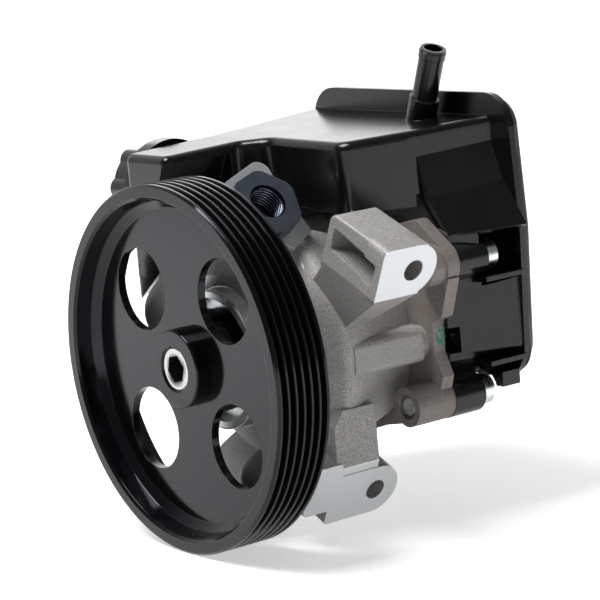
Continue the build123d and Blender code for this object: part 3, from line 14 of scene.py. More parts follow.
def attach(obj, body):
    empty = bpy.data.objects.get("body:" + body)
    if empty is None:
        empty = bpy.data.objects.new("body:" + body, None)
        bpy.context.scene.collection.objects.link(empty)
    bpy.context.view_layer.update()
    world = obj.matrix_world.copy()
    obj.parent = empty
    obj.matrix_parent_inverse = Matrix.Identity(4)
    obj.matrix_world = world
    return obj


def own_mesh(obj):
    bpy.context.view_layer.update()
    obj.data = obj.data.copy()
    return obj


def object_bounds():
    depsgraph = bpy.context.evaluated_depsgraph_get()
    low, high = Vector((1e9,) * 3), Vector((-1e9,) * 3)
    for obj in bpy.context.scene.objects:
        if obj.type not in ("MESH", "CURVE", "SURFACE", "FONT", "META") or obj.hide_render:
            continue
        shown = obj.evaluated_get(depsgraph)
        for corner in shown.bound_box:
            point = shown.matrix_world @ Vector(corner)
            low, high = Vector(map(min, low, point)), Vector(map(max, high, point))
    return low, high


bl_info = {
    "name": "Power Steering Pump Looks",
    "version": (1, 0, 0),
    "blender": (4, 5, 0),
    "location": "View3D > Sidebar > Pump",
    "description": "Finishes, small detail and studio for a power steering pump",
    "category": "Object",
}

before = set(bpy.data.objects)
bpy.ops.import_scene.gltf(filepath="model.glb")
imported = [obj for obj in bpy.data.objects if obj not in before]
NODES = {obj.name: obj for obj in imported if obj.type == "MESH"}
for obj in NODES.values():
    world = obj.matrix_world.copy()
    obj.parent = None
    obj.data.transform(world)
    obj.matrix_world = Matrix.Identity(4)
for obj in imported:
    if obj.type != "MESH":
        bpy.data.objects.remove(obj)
CAD_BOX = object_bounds()
MM = 0.001

# The port's axis is square to the shaft and passes beside it
PORT_TILT = math.radians(37.7)
PORT_OFFSET = 36.4 * MM
PORT_Y = 29 * MM
PORT_OUT = Vector((math.cos(PORT_TILT), 0, math.sin(PORT_TILT)))
PORT_UP = Vector((-math.sin(PORT_TILT), 0, math.cos(PORT_TILT)))
PORT_BASE = PORT_UP * PORT_OFFSET + Vector((0, PORT_Y, 0))

# Faces that a cutter has run over, with the depth to which their finish goes
EAR_TILT = math.radians(-25.5)
EAR_OUT = Vector((math.cos(EAR_TILT), 0, math.sin(EAR_TILT)))
EAR_FACE_LEVEL = 60 * MM
PAD_LEVEL = 45 * MM
PAD_REACH = 28 * MM
NOSE_REAR_Y = 18.2 * MM
NOSE_RADIUS = 33.2 * MM
CUT_DEPTH = 0.15 * MM

# Middle of the inspection paint dab on the rear cover's edge
DAB_PLACE = (53 * MM, 84.5 * MM, 1.5 * MM)

# The shaft's axis, and the way to the front
SHAFT_AXIS = (0, 1, 0)
FRONT = (0, -1, 0)

# Periods of the wave texture in one unit when its scale is 1
WAVE_PERIODS = 3.2

# The camera's place and directions, as found from the photo
CAMERA_PLACE = Vector((0.77566, -0.50542, 0.18763))
CAMERA_RIGHT = Vector((0.59584, 0.79815, -0.08905))
CAMERA_UP = Vector((-0.08939, 0.17613, 0.98028))
CAMERA_BACK = CAMERA_RIGHT.cross(CAMERA_UP)


def srgb(code):
    """Linear RGB of an sRGB hex colour such as #a3a09c."""
    channels = [int(code[place:place + 2], 16) / 255 for place in (1, 3, 5)]
    return [c / 12.92 if c <= 0.04045 else ((c + 0.055) / 1.055) ** 2.4 for c in channels]


def colour_setting(name, description, code):
    """A colour that the panel can change."""
    return bpy.props.FloatVectorProperty(
        name=name, description=description, subtype="COLOR", size=3, min=0, max=1, default=srgb(code))


def length_setting(name, description, low, high, default):
    """A length that the panel can change, its limits and default in millimetres."""
    return bpy.props.FloatProperty(
        name=name, description=description, unit="LENGTH", min=low * MM, max=high * MM, default=default * MM)


def share_setting(name, description, default):
    """A share from 0 to 1 that the panel can change."""
    return bpy.props.FloatProperty(
        name=name, description=description, subtype="FACTOR", min=0, max=1, default=default)


def power_setting(name, description, default):
    """A lamp's power that the panel can change."""
    return bpy.props.FloatProperty(name=name, description=description, unit="POWER", min=0, default=default)


class StudioSettings(bpy.types.PropertyGroup):
    """Floor, lamps and camera."""

    floor_colour: colour_setting("Floor colour", "Colour of the pale floor", "#f4f4f4")
    key_power: power_setting("Key lamp", "Power of the large soft lamp above the front", 23.0)
    fill_power: power_setting("Fill lamp", "Power of the soft lamp at the right", 1.2)
    rim_power: power_setting("Rim lamp", "Power of the soft lamp behind the reservoir", 2.2)
    floor_lift: share_setting("Floor lift", "Brightness added to the floor close to the pump", 0.53)
    sky_level: share_setting("Sky level", "Strength of the even light from all round", 0.42)
    room_level: share_setting("Room level", "Brightness of the room behind the camera", 0.16)
    lens: bpy.props.FloatProperty(
        name="Lens", description="Camera's focal length in millimetres", min=20, max=400, default=144.79)


class PulleySettings(bpy.types.PropertyGroup):
    """Coating of the belt pulley."""

    coat_colour: colour_setting("Coat colour", "Colour of the gloss black coating", "#08090b")
    coat_roughness: share_setting("Coat roughness", "How blurred the coating's reflections are", 0.1)
    coat_shine: share_setting("Coat shine", "How strongly the coating reflects", 0.3)
    peel_size: length_setting("Orange peel", "Width of the coating's gentle waves", 0.2, 10, 1.8)
    edge_radius: length_setting("Edge radius", "Rounding of the pressed edges", 0.05, 2, 0.35)


class CastingSettings(bpy.types.PropertyGroup):
    """Housing and rear cover castings."""

    housing_colour: colour_setting("Housing colour", "Colour of the raw die casting", "#b9b7b4")
    machined_colour: colour_setting("Machined colour", "Colour of freshly milled aluminium", "#d3d6d8")
    cover_colour: colour_setting("Cover colour", "Colour of the darker rear cover", "#a09892")
    grain_size: length_setting("Casting grain", "Width of the casting's surface grain", 0.1, 10, 0.55)
    edge_radius: length_setting("Edge radius", "Rounding of the cast edges", 0.05, 2, 0.5)
    flash_height: length_setting("Flash height", "Height of the mould's parting lines", 0.05, 1, 0.35)
    paint_colour: colour_setting("Paint dab", "Colour of the inspection paint dab on the cover", "#1f8a6a")


class ReservoirSettings(bpy.types.PropertyGroup):
    """Moulded reservoir, lid and cap."""

    plastic_colour: colour_setting("Plastic colour", "Colour of the black glass-filled nylon", "#0f0f11")
    plastic_roughness: share_setting("Plastic roughness", "How dull the moulding is", 0.2)
    grain_size: length_setting("Mould grain", "Width of the spark-eroded mould grain", 0.1, 10, 0.7)
    edge_radius: length_setting("Edge radius", "Rounding of the moulded edges", 0.05, 2, 0.45)
    weld_radius: length_setting("Weld bead", "Radius of the bead pressed out at the lid's seam", 0.1, 2, 0.6)


class FittingSettings(bpy.types.PropertyGroup):
    """Port thread, union and zinc-plated screws."""

    thread_pitch: length_setting("Thread pitch", "Distance between the port thread's crests", 0.5, 4, 1.5)
    thread_depth: length_setting("Thread depth", "Height of the port thread's crests", 0.1, 2, 0.75)
    zinc_colour: colour_setting("Zinc colour", "Colour of the bright zinc plating", "#e3e9ea")
    steel_colour: colour_setting("Union colour", "Colour of the blued steel union", "#6c7685")


class PumpLooks(bpy.types.PropertyGroup):
    """All settings of the pump."""

    studio: bpy.props.PointerProperty(type=StudioSettings, name="Studio")
    pulley: bpy.props.PointerProperty(type=PulleySettings, name="Pulley")
    casting: bpy.props.PointerProperty(type=CastingSettings, name="Castings")
    reservoir: bpy.props.PointerProperty(type=ReservoirSettings, name="Reservoir")
    fitting: bpy.props.PointerProperty(type=FittingSettings, name="Fittings")


def settings():
    """The scene's settings groups."""
    return bpy.context.scene.pump_looks


# Materials

def add_node(tree, kind, inputs=None, **options):
    """A node of a material or world, with its options set and its inputs set or linked."""
    node = tree.nodes.new(kind)
    for name, value in options.items():
        setattr(node, name, value)
    for socket, value in (inputs or {}).items():
        if isinstance(value, bpy.types.NodeSocket):
            tree.links.new(value, node.inputs[socket])
        else:
            node.inputs[socket].default_value = value
    return node


def blank_material(name):
    """A new material's tree, its shader and its object coordinates."""
    material = bpy.data.materials.new(name)
    material.use_nodes = True
    tree = material.node_tree
    shader = tree.nodes["Principled BSDF"]
    place = add_node(tree, "ShaderNodeTexCoord").outputs["Object"]
    return material, tree, shader, place


def rgba(colour, level=1.0):
    """A colour with an alpha, brightened or darkened by a level."""
    return [min(channel * level, 1) for channel in colour] + [1]


def noise(tree, place, size, detail=4, roughness=0.55):
    """An uneven pattern from 0 to 1 whose spots are about size wide."""
    inputs = {"Vector": place, "Scale": 1 / size, "Detail": detail, "Roughness": roughness}
    return add_node(tree, "ShaderNodeTexNoise", inputs).outputs["Fac"]


def between(tree, amount, low, high, start=0.0, end=1.0):
    """Maps an amount that runs from start to end onto the run from low to high."""
    inputs = {"Value": amount, "From Min": start, "From Max": end, "To Min": low, "To Max": high}
    return add_node(tree, "ShaderNodeMapRange", inputs).outputs["Result"]


def two_colours(tree, amount, first, second):
    """Mixes two colours, each a socket or an RGBA, by an amount."""
    # The node's colour sockets are its seventh and eighth, and its colour result is the third
    return add_node(tree, "ShaderNodeMix", {0: amount, 6: first, 7: second}, data_type="RGBA").outputs[2]


def bump(tree, shader, height, depth, below=None):
    """Raises the surface by depth where the height is 1."""
    inputs = {"Height": height, "Distance": depth, "Strength": 1.0}
    if below is not None:
        inputs["Normal"] = below
    node = add_node(tree, "ShaderNodeBump", inputs)
    tree.links.new(node.outputs["Normal"], shader.inputs["Normal"])
    return node.outputs["Normal"]


def soft_edges(tree, radius):
    """Shading normals that round every edge by a small radius."""
    return add_node(tree, "ShaderNodeBevel", {"Radius": radius}, samples=6).outputs["Normal"]


def calculate(tree, operation, first, second):
    """The result of a calculation on two amounts, such as MULTIPLY or LESS_THAN."""
    return add_node(tree, "ShaderNodeMath", {0: first, 1: second}, operation=operation).outputs[0]


def above_plane(tree, place, direction, level):
    """1 where a place lies past a plane, else 0."""
    along = add_node(tree, "ShaderNodeVectorMath", {0: place, 1: direction}, operation="DOT_PRODUCT")
    return calculate(tree, "GREATER_THAN", along.outputs["Value"], level)


def near_point(tree, place, point, radius):
    """1 where a place lies within a radius of a point, else 0."""
    far = add_node(tree, "ShaderNodeVectorMath", {0: place, 1: point}, operation="DISTANCE")
    return calculate(tree, "LESS_THAN", far.outputs["Value"], radius)


def from_line(tree, place, point, direction):
    """A place's distance from a line through a point."""
    moved = add_node(tree, "ShaderNodeVectorMath", {0: place, 1: point}, operation="SUBTRACT")
    inputs = {0: moved.outputs["Vector"], 1: direction}
    side = add_node(tree, "ShaderNodeVectorMath", inputs, operation="CROSS_PRODUCT")
    far = add_node(tree, "ShaderNodeVectorMath", {0: side.outputs["Vector"]}, operation="LENGTH")
    return far.outputs["Value"]


def turning_rings(tree, place, pitch):
    """Fine rings about the Y axis, as a lathe leaves on a face."""
    inputs = {"Vector": place, "Scale": 1 / (pitch * WAVE_PERIODS), "Distortion": 0.4, "Detail": 2.0}
    node = add_node(tree, "ShaderNodeTexWave", inputs, wave_type="RINGS", rings_direction="Y")
    return node.outputs["Fac"]


def coated_steel():
    """Steel with a black cathodic dip coat: a smooth skin with faint waves and clear reflections."""
    look = settings().pulley
    material, tree, shader, place = blank_material("black_dip_coat")
    shader.inputs["Base Color"].default_value = rgba(look.coat_colour)
    shader.inputs["Specular IOR Level"].default_value = look.coat_shine
    shader.inputs["Specular Tint"].default_value = rgba(srgb("#eef3fb"))
    peel = noise(tree, place, look.peel_size, detail=1)
    # Turning marks show faintly through the coat
    marks = turning_rings(tree, place, 0.6 * MM)
    rings = bump(tree, shader, marks, 0.0015 * MM, soft_edges(tree, look.edge_radius))
    bump(tree, shader, peel, 0.005 * MM, rings)
    dust = noise(tree, place, 12 * MM, detail=6, roughness=0.65)
    blur = between(tree, dust, look.coat_roughness * 0.8, look.coat_roughness * 1.5)
    tree.links.new(blur, shader.inputs["Roughness"])
    return material


def shaft_steel():
    """Turned shaft steel with a countersunk mouth round the hexagon socket, and painted shade in the socket.
    """
    steel = srgb("#b9b9b6")
    mouth_inner_radius = 4.9 * MM
    mouth_outer_radius = 7.1 * MM
    socket_radius = 6.1 * MM
    face_level = 7.7 * MM
    material = turned_steel("countersunk_shaft_steel", steel, 0.24, 0.3 * MM)
    tree = material.node_tree
    shader = tree.nodes["Principled BSDF"]
    place = tree.nodes["Texture Coordinate"].outputs["Object"]
    far = from_line(tree, place, (0, 0, 0), SHAFT_AXIS)
    cone = between(tree, far, 0, 1, mouth_inner_radius, mouth_outer_radius)
    face = above_plane(tree, place, FRONT, face_level)
    bump(tree, shader, calculate(tree, "MULTIPLY", cone, face), 0.6 * MM)
    # Painted shade: the hexagon socket within its mouth is darkened to half the steel's colour
    socket_shade = calculate(tree, "LESS_THAN", far, socket_radius)
    tone = two_colours(tree, socket_shade, rgba(steel), rgba(steel, 0.5))
    tree.links.new(tone, shader.inputs["Base Color"])
    return material


def turned_steel(name, colour, roughness, pitch):
    """Bare steel off a lathe or grinder: metallic, with fine rings about the shaft."""
    material, tree, shader, place = blank_material(name)
    shader.inputs["Metallic"].default_value = 1.0
    rings = turning_rings(tree, place, pitch)
    stain = noise(tree, place, 6 * MM, detail=5)
    tone = two_colours(tree, stain, rgba(colour, 0.8), rgba(colour))
    tree.links.new(tone, shader.inputs["Base Color"])
    tree.links.new(between(tree, rings, roughness * 0.8, roughness * 1.3), shader.inputs["Roughness"])
    bump(tree, shader, rings, 0.01 * MM, soft_edges(tree, 0.2 * MM))
    return material


def milled_zones(tree, place):
    """1 on the housing's cut faces: the ears, the port's pad and the nose with its relief."""
    ears = above_plane(tree, place, EAR_OUT, EAR_FACE_LEVEL - CUT_DEPTH)
    port_top = PORT_OUT * PAD_LEVEL + PORT_BASE
    under_pad = above_plane(tree, place, PORT_OUT, PAD_LEVEL - CUT_DEPTH)
    past_pad = above_plane(tree, place, PORT_OUT, PAD_LEVEL + CUT_DEPTH)
    pad_face = calculate(tree, "SUBTRACT", under_pad, past_pad)
    pad = calculate(tree, "MULTIPLY", pad_face, near_point(tree, place, port_top, PAD_REACH))
    front = above_plane(tree, place, FRONT, -NOSE_REAR_Y)
    near = calculate(tree, "LESS_THAN", from_line(tree, place, (0, 0, 0), SHAFT_AXIS), NOSE_RADIUS)
    nose = calculate(tree, "MULTIPLY", front, near)
    return calculate(tree, "MAXIMUM", calculate(tree, "MAXIMUM", ears, pad), nose)


def housing_casting():
    """Shot-blasted die-cast aluminium with milled pads: pale speckled grey, bright where a cutter ran."""
    look = settings().casting
    material, tree, shader, place = blank_material("die_cast_aluminium")
    # The real grain is finer than this one, but wouldn't show at this size
    grain = noise(tree, place, look.grain_size, detail=5, roughness=0.72)
    cloud = noise(tree, place, 14 * MM, detail=4)
    pits = rgba(look.housing_colour, 0.4)
    peaks = rgba(look.housing_colour, 1.15)
    skin = two_colours(tree, between(tree, grain, 0, 1, 0.34, 0.62), pits, peaks)
    skin = two_colours(tree, between(tree, cloud, 0, 0.35, 0.4, 0.7), skin, rgba(look.housing_colour, 0.7))
    milled = milled_zones(tree, place)
    # Milling leaves wide arcs, so their centre lies well away from the milled faces
    arc_pitch = 0.5 * MM
    moved = add_node(tree, "ShaderNodeMapping", {"Vector": place, "Location": (-0.02, -0.12, 0.03)})
    inputs = {"Vector": moved.outputs["Vector"], "Scale": 1 / (arc_pitch * WAVE_PERIODS), "Distortion": 0.6}
    wave = add_node(tree, "ShaderNodeTexWave", inputs, wave_type="RINGS", rings_direction="SPHERICAL")
    arcs = wave.outputs["Fac"]
    cut_tone = two_colours(tree, arcs, rgba(look.machined_colour, 0.9), rgba(look.machined_colour))
    tree.links.new(two_colours(tree, milled, skin, cut_tone), shader.inputs["Base Color"])
    tree.links.new(between(tree, milled, 0.3, 0.8), shader.inputs["Metallic"])
    tree.links.new(between(tree, milled, 0.55, 0.32), shader.inputs["Roughness"])
    relief = two_colours(tree, milled, grain, calculate(tree, "MULTIPLY", arcs, 0.04))
    bump(tree, shader, relief, 0.1 * MM, soft_edges(tree, look.edge_radius))
    return material


def cover_casting():
    """Darker sand-textured casting with dull metal showing through: coarse grain and uneven tone."""
    look = settings().casting
    material, tree, shader, place = blank_material("dark_cover_casting")
    grain = noise(tree, place, look.grain_size * 1.3, detail=6, roughness=0.75)
    cloud = noise(tree, place, 9 * MM, detail=5)
    pits = rgba(look.cover_colour, 0.45)
    peaks = rgba(look.cover_colour, 1.2)
    skin = two_colours(tree, between(tree, grain, 0, 1, 0.3, 0.7), pits, peaks)
    skin = two_colours(tree, between(tree, cloud, 0, 0.5, 0.4, 0.7), skin, rgba(look.cover_colour, 0.6))
    # An inspector's brush left a thin broken dab of paint on the edge beside a cover bolt
    dab_radius = 4.2 * MM
    film = calculate(tree, "GREATER_THAN", noise(tree, place, 1.3 * MM, detail=5, roughness=0.7), 0.5)
    dab = calculate(tree, "MULTIPLY", film, near_point(tree, place, DAB_PLACE, dab_radius))
    skin = two_colours(tree, dab, skin, rgba(look.paint_colour))
    tree.links.new(skin, shader.inputs["Base Color"])
    shader.inputs["Metallic"].default_value = 0.3
    tree.links.new(between(tree, grain, 0.48, 0.7), shader.inputs["Roughness"])
    bump(tree, shader, grain, 0.16 * MM, soft_edges(tree, look.edge_radius))
    return material


def moulded_nylon(name, level=1.0):
    """Black glass-filled nylon from a spark-eroded mould: near black with a broken satin sheen."""
    look = settings().reservoir
    material, tree, shader, place = blank_material(name)
    grain = noise(tree, place, look.grain_size, detail=3, roughness=0.6)
    flow = noise(tree, place, 22 * MM, detail=5, roughness=0.6)
    dark = rgba(look.plastic_colour, 0.8 * level)
    pale = rgba(look.plastic_colour, 1.25 * level)
    tree.links.new(two_colours(tree, flow, dark, pale), shader.inputs["Base Color"])
    blur = between(tree, flow, look.plastic_roughness * 0.8, look.plastic_roughness * 1.25)
    tree.links.new(blur, shader.inputs["Roughness"])
    shader.inputs["IOR"].default_value = 1.43
    bump(tree, shader, grain, 0.015 * MM, soft_edges(tree, look.edge_radius))
    return material


def zinc_plate():
    """Bright zinc plating: bluish white metal, slightly clouded where it was passivated."""
    look = settings().fitting
    material, tree, shader, place = blank_material("bright_zinc_plate")
    shader.inputs["Metallic"].default_value = 1.0
    cloud = noise(tree, place, 2.5 * MM, detail=5)
    tone = two_colours(tree, cloud, rgba(look.zinc_colour, 0.86), rgba(look.zinc_colour))
    tree.links.new(tone, shader.inputs["Base Color"])
    tree.links.new(between(tree, cloud, 0.2, 0.36), shader.inputs["Roughness"])
    bump(tree, shader, cloud, 0.01 * MM, soft_edges(tree, 0.3 * MM))
    return material


def blued_steel():
    """Steel blackened in an oxide bath and oiled: blue-grey with a soft metallic sheen, a painted highlight
    on the port thread's crests and painted shade in the bore between them.
    """
    look = settings().fitting
    material, tree, shader, place = blank_material("oxide_black_steel")
    shader.inputs["Metallic"].default_value = 0.9
    cloud = noise(tree, place, 3 * MM, detail=5)
    tone = two_colours(tree, cloud, rgba(look.steel_colour, 0.6), rgba(look.steel_colour))
    # Painted highlight on the thread's crests, and painted shade darkening the bore between them nearly to
    # black
    crest_radius = 6.78 * MM
    bore_radius = 7.6 * MM
    bright = rgba(look.steel_colour, 2.2)
    painted_bore_shade = rgba(look.steel_colour, 0.04)
    far = from_line(tree, place, PORT_BASE, PORT_OUT)
    past_crests = calculate(tree, "GREATER_THAN", far, crest_radius)
    tone = two_colours(tree, past_crests, bright, tone)
    bore = calculate(tree, "MULTIPLY", past_crests, calculate(tree, "LESS_THAN", far, bore_radius))
    tree.links.new(two_colours(tree, bore, tone, painted_bore_shade), shader.inputs["Base Color"])
    tree.links.new(between(tree, cloud, 0.24, 0.4), shader.inputs["Roughness"])
    bump(tree, shader, noise(tree, place, 0.8 * MM), 0.02 * MM, soft_edges(tree, 0.4 * MM))
    return material


def plain_finish(name, code, roughness, metallic=0.0, grain=1.0 * MM, depth=0.02 * MM):
    """A simple finish with a fine grain, for pieces that stay out of sight or show little."""
    material, tree, shader, place = blank_material(name)
    shader.inputs["Metallic"].default_value = metallic
    shader.inputs["Roughness"].default_value = roughness
    spots = noise(tree, place, grain)
    tone = two_colours(tree, spots, rgba(srgb(code), 0.8), rgba(srgb(code), 1.1))
    tree.links.new(tone, shader.inputs["Base Color"])
    bump(tree, shader, spots, depth)
    return material


# Mesh work

def finished_piece(name, mesh, body, material, smooth=True):
    """Turns a bmesh into an object that rides on a body."""
    bmesh.ops.recalc_face_normals(mesh, faces=mesh.faces)
    data = bpy.data.meshes.new(name)
    mesh.to_mesh(data)
    mesh.free()
    for polygon in data.polygons:
        polygon.use_smooth = smooth
    data.materials.append(material)
    piece = bpy.data.objects.new(name, data)
    bpy.context.scene.collection.objects.link(piece)
    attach(piece, body)
    return piece


def add_bead(mesh, points, radius, closed=False):
    """Adds a round bead along a line of points, pushed on from one point to the next."""
    count = len(points)
    ahead = [points[(index + 1) % count] - points[index] for index in range(count)]
    if not closed:
        ahead[-1] = ahead[-2]
    rings = []
    for index, point in enumerate(points):
        behind = ahead[index - 1] if closed or index else ahead[index]
        direction = (ahead[index].normalized() + behind.normalized()).normalized()
        turn = direction.to_track_quat("Z", "Y").to_matrix().to_4x4()
        made = bmesh.ops.create_circle(
            mesh, segments=8, radius=radius, matrix=Matrix.Translation(point) @ turn)
        rings.append(made["verts"])
    pairs = list(zip(rings, rings[1:] + rings[:1])) if closed else list(zip(rings, rings[1:]))
    for first, second in pairs:
        edges = {edge for ring in (first, second) for vert in ring for edge in vert.link_edges
                 if edge.other_vert(vert) in ring}
        bmesh.ops.bridge_loops(mesh, edges=list(edges))
    if not closed:
        mesh.faces.new(rings[0])
        mesh.faces.new(rings[-1])


def paint(node, material):
    """Gives a CAD node its finish."""
    data = NODES[node].data
    data.materials.clear()
    data.materials.append(material)


def seen_rays(tree):
    """1 for rays from the camera, a reflection or through glass."""
    path = add_node(tree, "ShaderNodeLightPath")
    seen = calculate(tree, "MAXIMUM", path.outputs["Is Camera Ray"], path.outputs["Is Glossy Ray"])
    return calculate(tree, "MAXIMUM", seen, path.outputs["Is Transmission Ray"])


class PUMP_OT_stage(bpy.types.Operator):
    """Makes the floor, the lamps and the camera"""

    bl_idname = "pump.stage"
    bl_label = "Stage"

    def execute(self, context):
        look = settings().studio
        low, high = CAD_BOX
        middle = (Vector(low) + Vector(high)) / 2
        self.add_floor(context, look, low[2])
        self.add_world(context, look)
        lamps = (
            ("key", look.key_power, 0.7, (-0.15, -0.55, 1.4)),
            ("fill", look.fill_power, 0.5, (1.4, -0.1, 0.35)),
            ("rim", look.rim_power, 0.7, (-0.95, 0.75, 0.6)),
        )
        for name, power, size, place in lamps:
            lamp = bpy.data.lights.new(name, "AREA")
            lamp.energy = power
            lamp.size = size
            holder = bpy.data.objects.new(name, lamp)
            holder.location = place
            holder.rotation_euler = (middle - Vector(place)).to_track_quat("-Z", "Y").to_euler()
            context.scene.collection.objects.link(holder)
        camera = bpy.data.cameras.new("camera")
        camera.lens = look.lens
        camera.sensor_width = 36
        holder = bpy.data.objects.new("camera", camera)
        turn = Matrix((CAMERA_RIGHT, CAMERA_UP, CAMERA_BACK)).transposed()
        holder.matrix_world = Matrix.Translation(CAMERA_PLACE) @ turn.to_4x4()
        context.scene.collection.objects.link(holder)
        context.scene.camera = holder
        context.scene.view_settings.view_transform = "Standard"
        return {"FINISHED"}

    def add_floor(self, context, look, level):
        """A pale floor that turns white away from the pump and keeps its shadow."""
        half_width = 12
        lift_start = 0.12
        lift_end = 0.5
        mesh = bmesh.new()
        bmesh.ops.create_grid(mesh, x_segments=1, y_segments=1, size=half_width)
        data = bpy.data.meshes.new("floor")
        mesh.to_mesh(data)
        mesh.free()
        data.transform(Matrix.Translation((0, 0, level)))
        floor = bpy.data.objects.new("floor", data)
        context.scene.collection.objects.link(floor)
        material, tree, shader, place = blank_material("pale_floor")
        shader.inputs["Base Color"].default_value = rgba(look.floor_colour)
        shader.inputs["Roughness"].default_value = 0.8
        shader.inputs["Specular IOR Level"].default_value = 0.1
        # A little light of its own, seen but not cast, takes the floor to white
        far = add_node(tree, "ShaderNodeVectorMath", {0: place}, operation="LENGTH").outputs["Value"]
        lift = between(tree, far, look.floor_lift, 1.0, lift_start, lift_end)
        shader.inputs["Emission Color"].default_value = rgba((1, 1, 1))
        tree.links.new(calculate(tree, "MULTIPLY", seen_rays(tree), lift), shader.inputs["Emission Strength"])
        data.materials.append(material)

    def add_world(self, context, look):
        """A white backdrop beyond the pump and a dimmer room behind the camera."""
        # How far along the view the room ends and the full white starts
        room_end = -0.1
        white_start = 0.5
        world = bpy.data.worlds.new("studio")
        context.scene.world = world
        world.use_nodes = True
        tree = world.node_tree
        background = tree.nodes["Background"]
        way = add_node(tree, "ShaderNodeTexCoord").outputs["Generated"]
        along = add_node(tree, "ShaderNodeVectorMath", {0: way, 1: -CAMERA_BACK}, operation="DOT_PRODUCT")
        level = between(tree, along.outputs["Value"], look.room_level, 1.0, room_end, white_start)
        grey = add_node(tree, "ShaderNodeCombineColor", {0: level, 1: level, 2: level}).outputs[0]
        tree.links.new(grey, background.inputs["Color"])
        tree.links.new(between(tree, seen_rays(tree), look.sky_level, 1.0), background.inputs["Strength"])


class PUMP_OT_finishes(bpy.types.Operator):
    """Gives every CAD node the finish of the real piece"""

    bl_idname = "pump.finishes"
    bl_label = "Finishes"

    def execute(self, context):
        bearing_steel = turned_steel("ground_bearing_steel", srgb("#dcdcdb"), 0.18, 0.15 * MM)
        machined_steel = turned_steel("turned_shaft_steel", srgb("#b7b2ab"), 0.3, 0.3 * MM)
        spring_steel = plain_finish("oiled_spring_steel", "#5a5b60", 0.38, 0.9)
        rubber = plain_finish("nitrile_rubber", "#161a18", 0.6, 0.0, 0.6 * MM)
        nylon = moulded_nylon("black_moulded_nylon")
        zinc = zinc_plate()
        coat = coated_steel()
        casting = housing_casting()
        looks = {
            "pulley": coat,
            "pulley_hub": coat,
            "drive_shaft": shaft_steel(),
            "bearing_outer_race": bearing_steel,
            "bearing_inner_race": bearing_steel,
            "bearing_balls": plain_finish("polished_bearing_steel", "#dcdcdc", 0.08, 1.0, 8 * MM, 0.0),
            "bearing_cage": plain_finish("amber_cage_nylon", "#9a7440", 0.5),
            "retaining_ring": spring_steel,
            "shaft_seal": rubber,
            "pump_housing": casting,
            "valve_head": casting,
            "rotor": bearing_steel,
            "rotor_ring": spring_steel,
            "cam_ring": bearing_steel,
            "front_pressure_plate": machined_steel,
            "rear_pressure_plate": machined_steel,
            "dowel_pins": bearing_steel,
            "plate_spring": spring_steel,
            "shaft_bush": plain_finish("sintered_bronze", "#b08a4a", 0.42, 0.9, 0.5 * MM),
            "rear_cover": cover_casting(),
            "housing_o_ring": rubber,
            "cover_bolts": zinc,
            "suction_o_ring": rubber,
            "pressure_port_union": blued_steel(),
            "union_seal": plain_finish("copper_washer", "#b8734a", 0.35, 1.0, 0.5 * MM),
            "flow_control_spool": bearing_steel,
            "flow_control_spring": spring_steel,
            "reservoir_body": nylon,
            "reservoir_lid": nylon,
            "reservoir_screws": zinc,
            "screw_sleeves": zinc,
            "filler_cap": moulded_nylon("black_cap_nylon", 0.9),
            "cap_gasket": rubber,
            "filter_screen": plain_finish("woven_screen_nylon", "#b9b2a0", 0.6, 0.0, 0.4 * MM),
        }
        for node in NODES:
            if node.startswith("vane_"):
                looks[node] = bearing_steel
            paint(node, looks[node])
        return {"FINISHED"}


class PUMP_OT_port_thread(bpy.types.Operator):
    """Winds the thread's crests along the pressure port's wall"""

    bl_idname = "pump.port_thread"
    bl_label = "Port thread"

    def execute(self, context):
        look = settings().fitting
        wall_radius = 7.38 * MM
        root_depth = 0.2 * MM
        first_level = 41.8 * MM
        last_level = 52.6 * MM
        steps_a_turn = 40
        turns = int((last_level - first_level) / look.thread_pitch)
        start = PORT_OUT * first_level + PORT_BASE
        # A crest's foot is a little narrower than the pitch, which leaves a flat between two crests
        half_foot = look.thread_pitch * 0.42
        mesh = bmesh.new()
        corners = []
        for along, inward in ((-half_foot, 0), (0, look.thread_depth), (half_foot, 0), (0, -root_depth)):
            corners.append(mesh.verts.new(start + PORT_OUT * along + PORT_UP * (wall_radius - inward)))
        section = mesh.faces.new(corners)
        bmesh.ops.spin(
            mesh, geom=[section] + list(section.edges) + list(section.verts), cent=start, axis=PORT_OUT,
            dvec=PORT_OUT * look.thread_pitch / steps_a_turn, angle=math.tau * turns,
            steps=steps_a_turn * turns, space=Matrix.Identity(4))
        # The union's finish paints a highlight on these crests and shade in the bore between them
        steel = bpy.data.materials["oxide_black_steel"]
        finished_piece("port_thread", mesh, "pump", steel, smooth=False)
        return {"FINISHED"}


class PUMP_OT_spool_spring(bpy.types.Operator):
    """Gives the flow control spring a mesh of its own"""

    bl_idname = "pump.spool_spring"
    bl_label = "Spool spring"

    def execute(self, context):
        spring = NODES["flow_control_spring"]
        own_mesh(spring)
        return {"FINISHED"}


class PUMP_OT_parting_lines(bpy.types.Operator):
    """Lays the mould's parting lines along the upper ear's arm and the side block"""

    bl_idname = "pump.parting_lines"
    bl_label = "Parting lines"

    def execute(self, context):
        look = settings().casting
        # Ends in millimetres, on the arm's upper face and on the block's right face
        arm_line = ((57.5, 40.5, 58.4), (87.0, 40.5, 46.4))
        block_line = ((49.9, 52.0, 5.0), (49.9, 74.0, 5.0))
        steps = 24
        mesh = bmesh.new()
        for start, end in (arm_line, block_line):
            points = []
            for step in range(steps + 1):
                point = Vector(start).lerp(Vector(end), step / steps)
                # Two waves that don't match make the line wander a little
                point.y += 0.25 * math.sin(step * 1.9) + 0.15 * math.sin(step * 4.3)
                points.append(point * MM)
            add_bead(mesh, points, look.flash_height / 2)
        casting = bpy.data.materials["die_cast_aluminium"]
        finished_piece("parting_lines", mesh, "pump", casting)
        return {"FINISHED"}


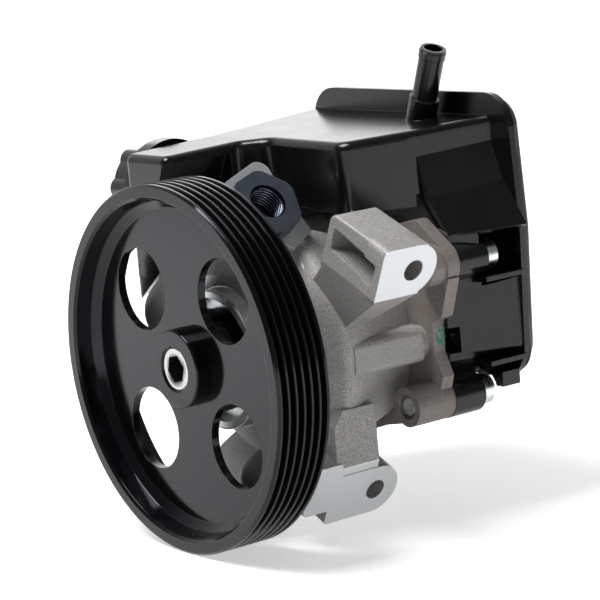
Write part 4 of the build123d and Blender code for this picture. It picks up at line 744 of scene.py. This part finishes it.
class PUMP_OT_weld_bead(bpy.types.Operator):
    """Presses a bead of plastic out of the seam between the reservoir's flange and its lid"""

    bl_idname = "pump.weld_bead"
    bl_label = "Weld bead"

    def execute(self, context):
        look = settings().reservoir
        # The seam's outline in millimetres, a rectangle with round corners
        left = -59.2
        right = 63.6
        floor = -19.2
        top = 90.8
        corner = 11.0
        seam_y = 119.3
        steps = 8
        points = []
        corners = (
            (right - corner, floor + corner, -90), (right - corner, top - corner, 0),
            (left + corner, top - corner, 90), (left + corner, floor + corner, 180))
        for middle_x, middle_z, first in corners:
            for step in range(steps + 1):
                turn = math.radians(first + step * 90 / steps)
                place = (middle_x + corner * math.cos(turn), seam_y, middle_z + corner * math.sin(turn))
                points.append(Vector(place) * MM)
        mesh = bmesh.new()
        add_bead(mesh, points, look.weld_radius, closed=True)
        nylon = bpy.data.materials["black_moulded_nylon"]
        finished_piece("weld_bead", mesh, "pump", nylon)
        return {"FINISHED"}


class PUMP_PT_panel(bpy.types.Panel):
    """Lists the pump's pieces and settings"""

    bl_label = "Power Steering Pump"
    bl_idname = "PUMP_PT_panel"
    bl_space_type = "VIEW_3D"
    bl_region_type = "UI"
    bl_category = "Pump"

    def draw(self, context):
        for step in STEPS:
            self.layout.operator(step.bl_idname)
        looks = settings()
        for group in (looks.studio, looks.pulley, looks.casting, looks.reservoir, looks.fitting):
            box = self.layout.box()
            for name in group.__annotations__:
                box.prop(group, name)


SETTINGS = (StudioSettings, PulleySettings, CastingSettings, ReservoirSettings, FittingSettings, PumpLooks)
STEPS = (
    PUMP_OT_stage, PUMP_OT_finishes, PUMP_OT_port_thread, PUMP_OT_spool_spring, PUMP_OT_parting_lines,
    PUMP_OT_weld_bead)


def register():
    """Adds the settings, the operators and the panel to Blender."""
    for kind in SETTINGS + STEPS + (PUMP_PT_panel,):
        bpy.utils.register_class(kind)
    bpy.types.Scene.pump_looks = bpy.props.PointerProperty(type=PumpLooks)


def unregister():
    """Takes them away again."""
    del bpy.types.Scene.pump_looks
    for kind in reversed(SETTINGS + STEPS + (PUMP_PT_panel,)):
        bpy.utils.unregister_class(kind)


def main():
    """Makes every piece in order."""
    register()
    bpy.ops.pump.stage()
    bpy.ops.pump.finishes()
    bpy.ops.pump.port_thread()
    bpy.ops.pump.spool_spring()
    bpy.ops.pump.parting_lines()
    bpy.ops.pump.weld_bead()


if __name__ == "__main__":
    main()
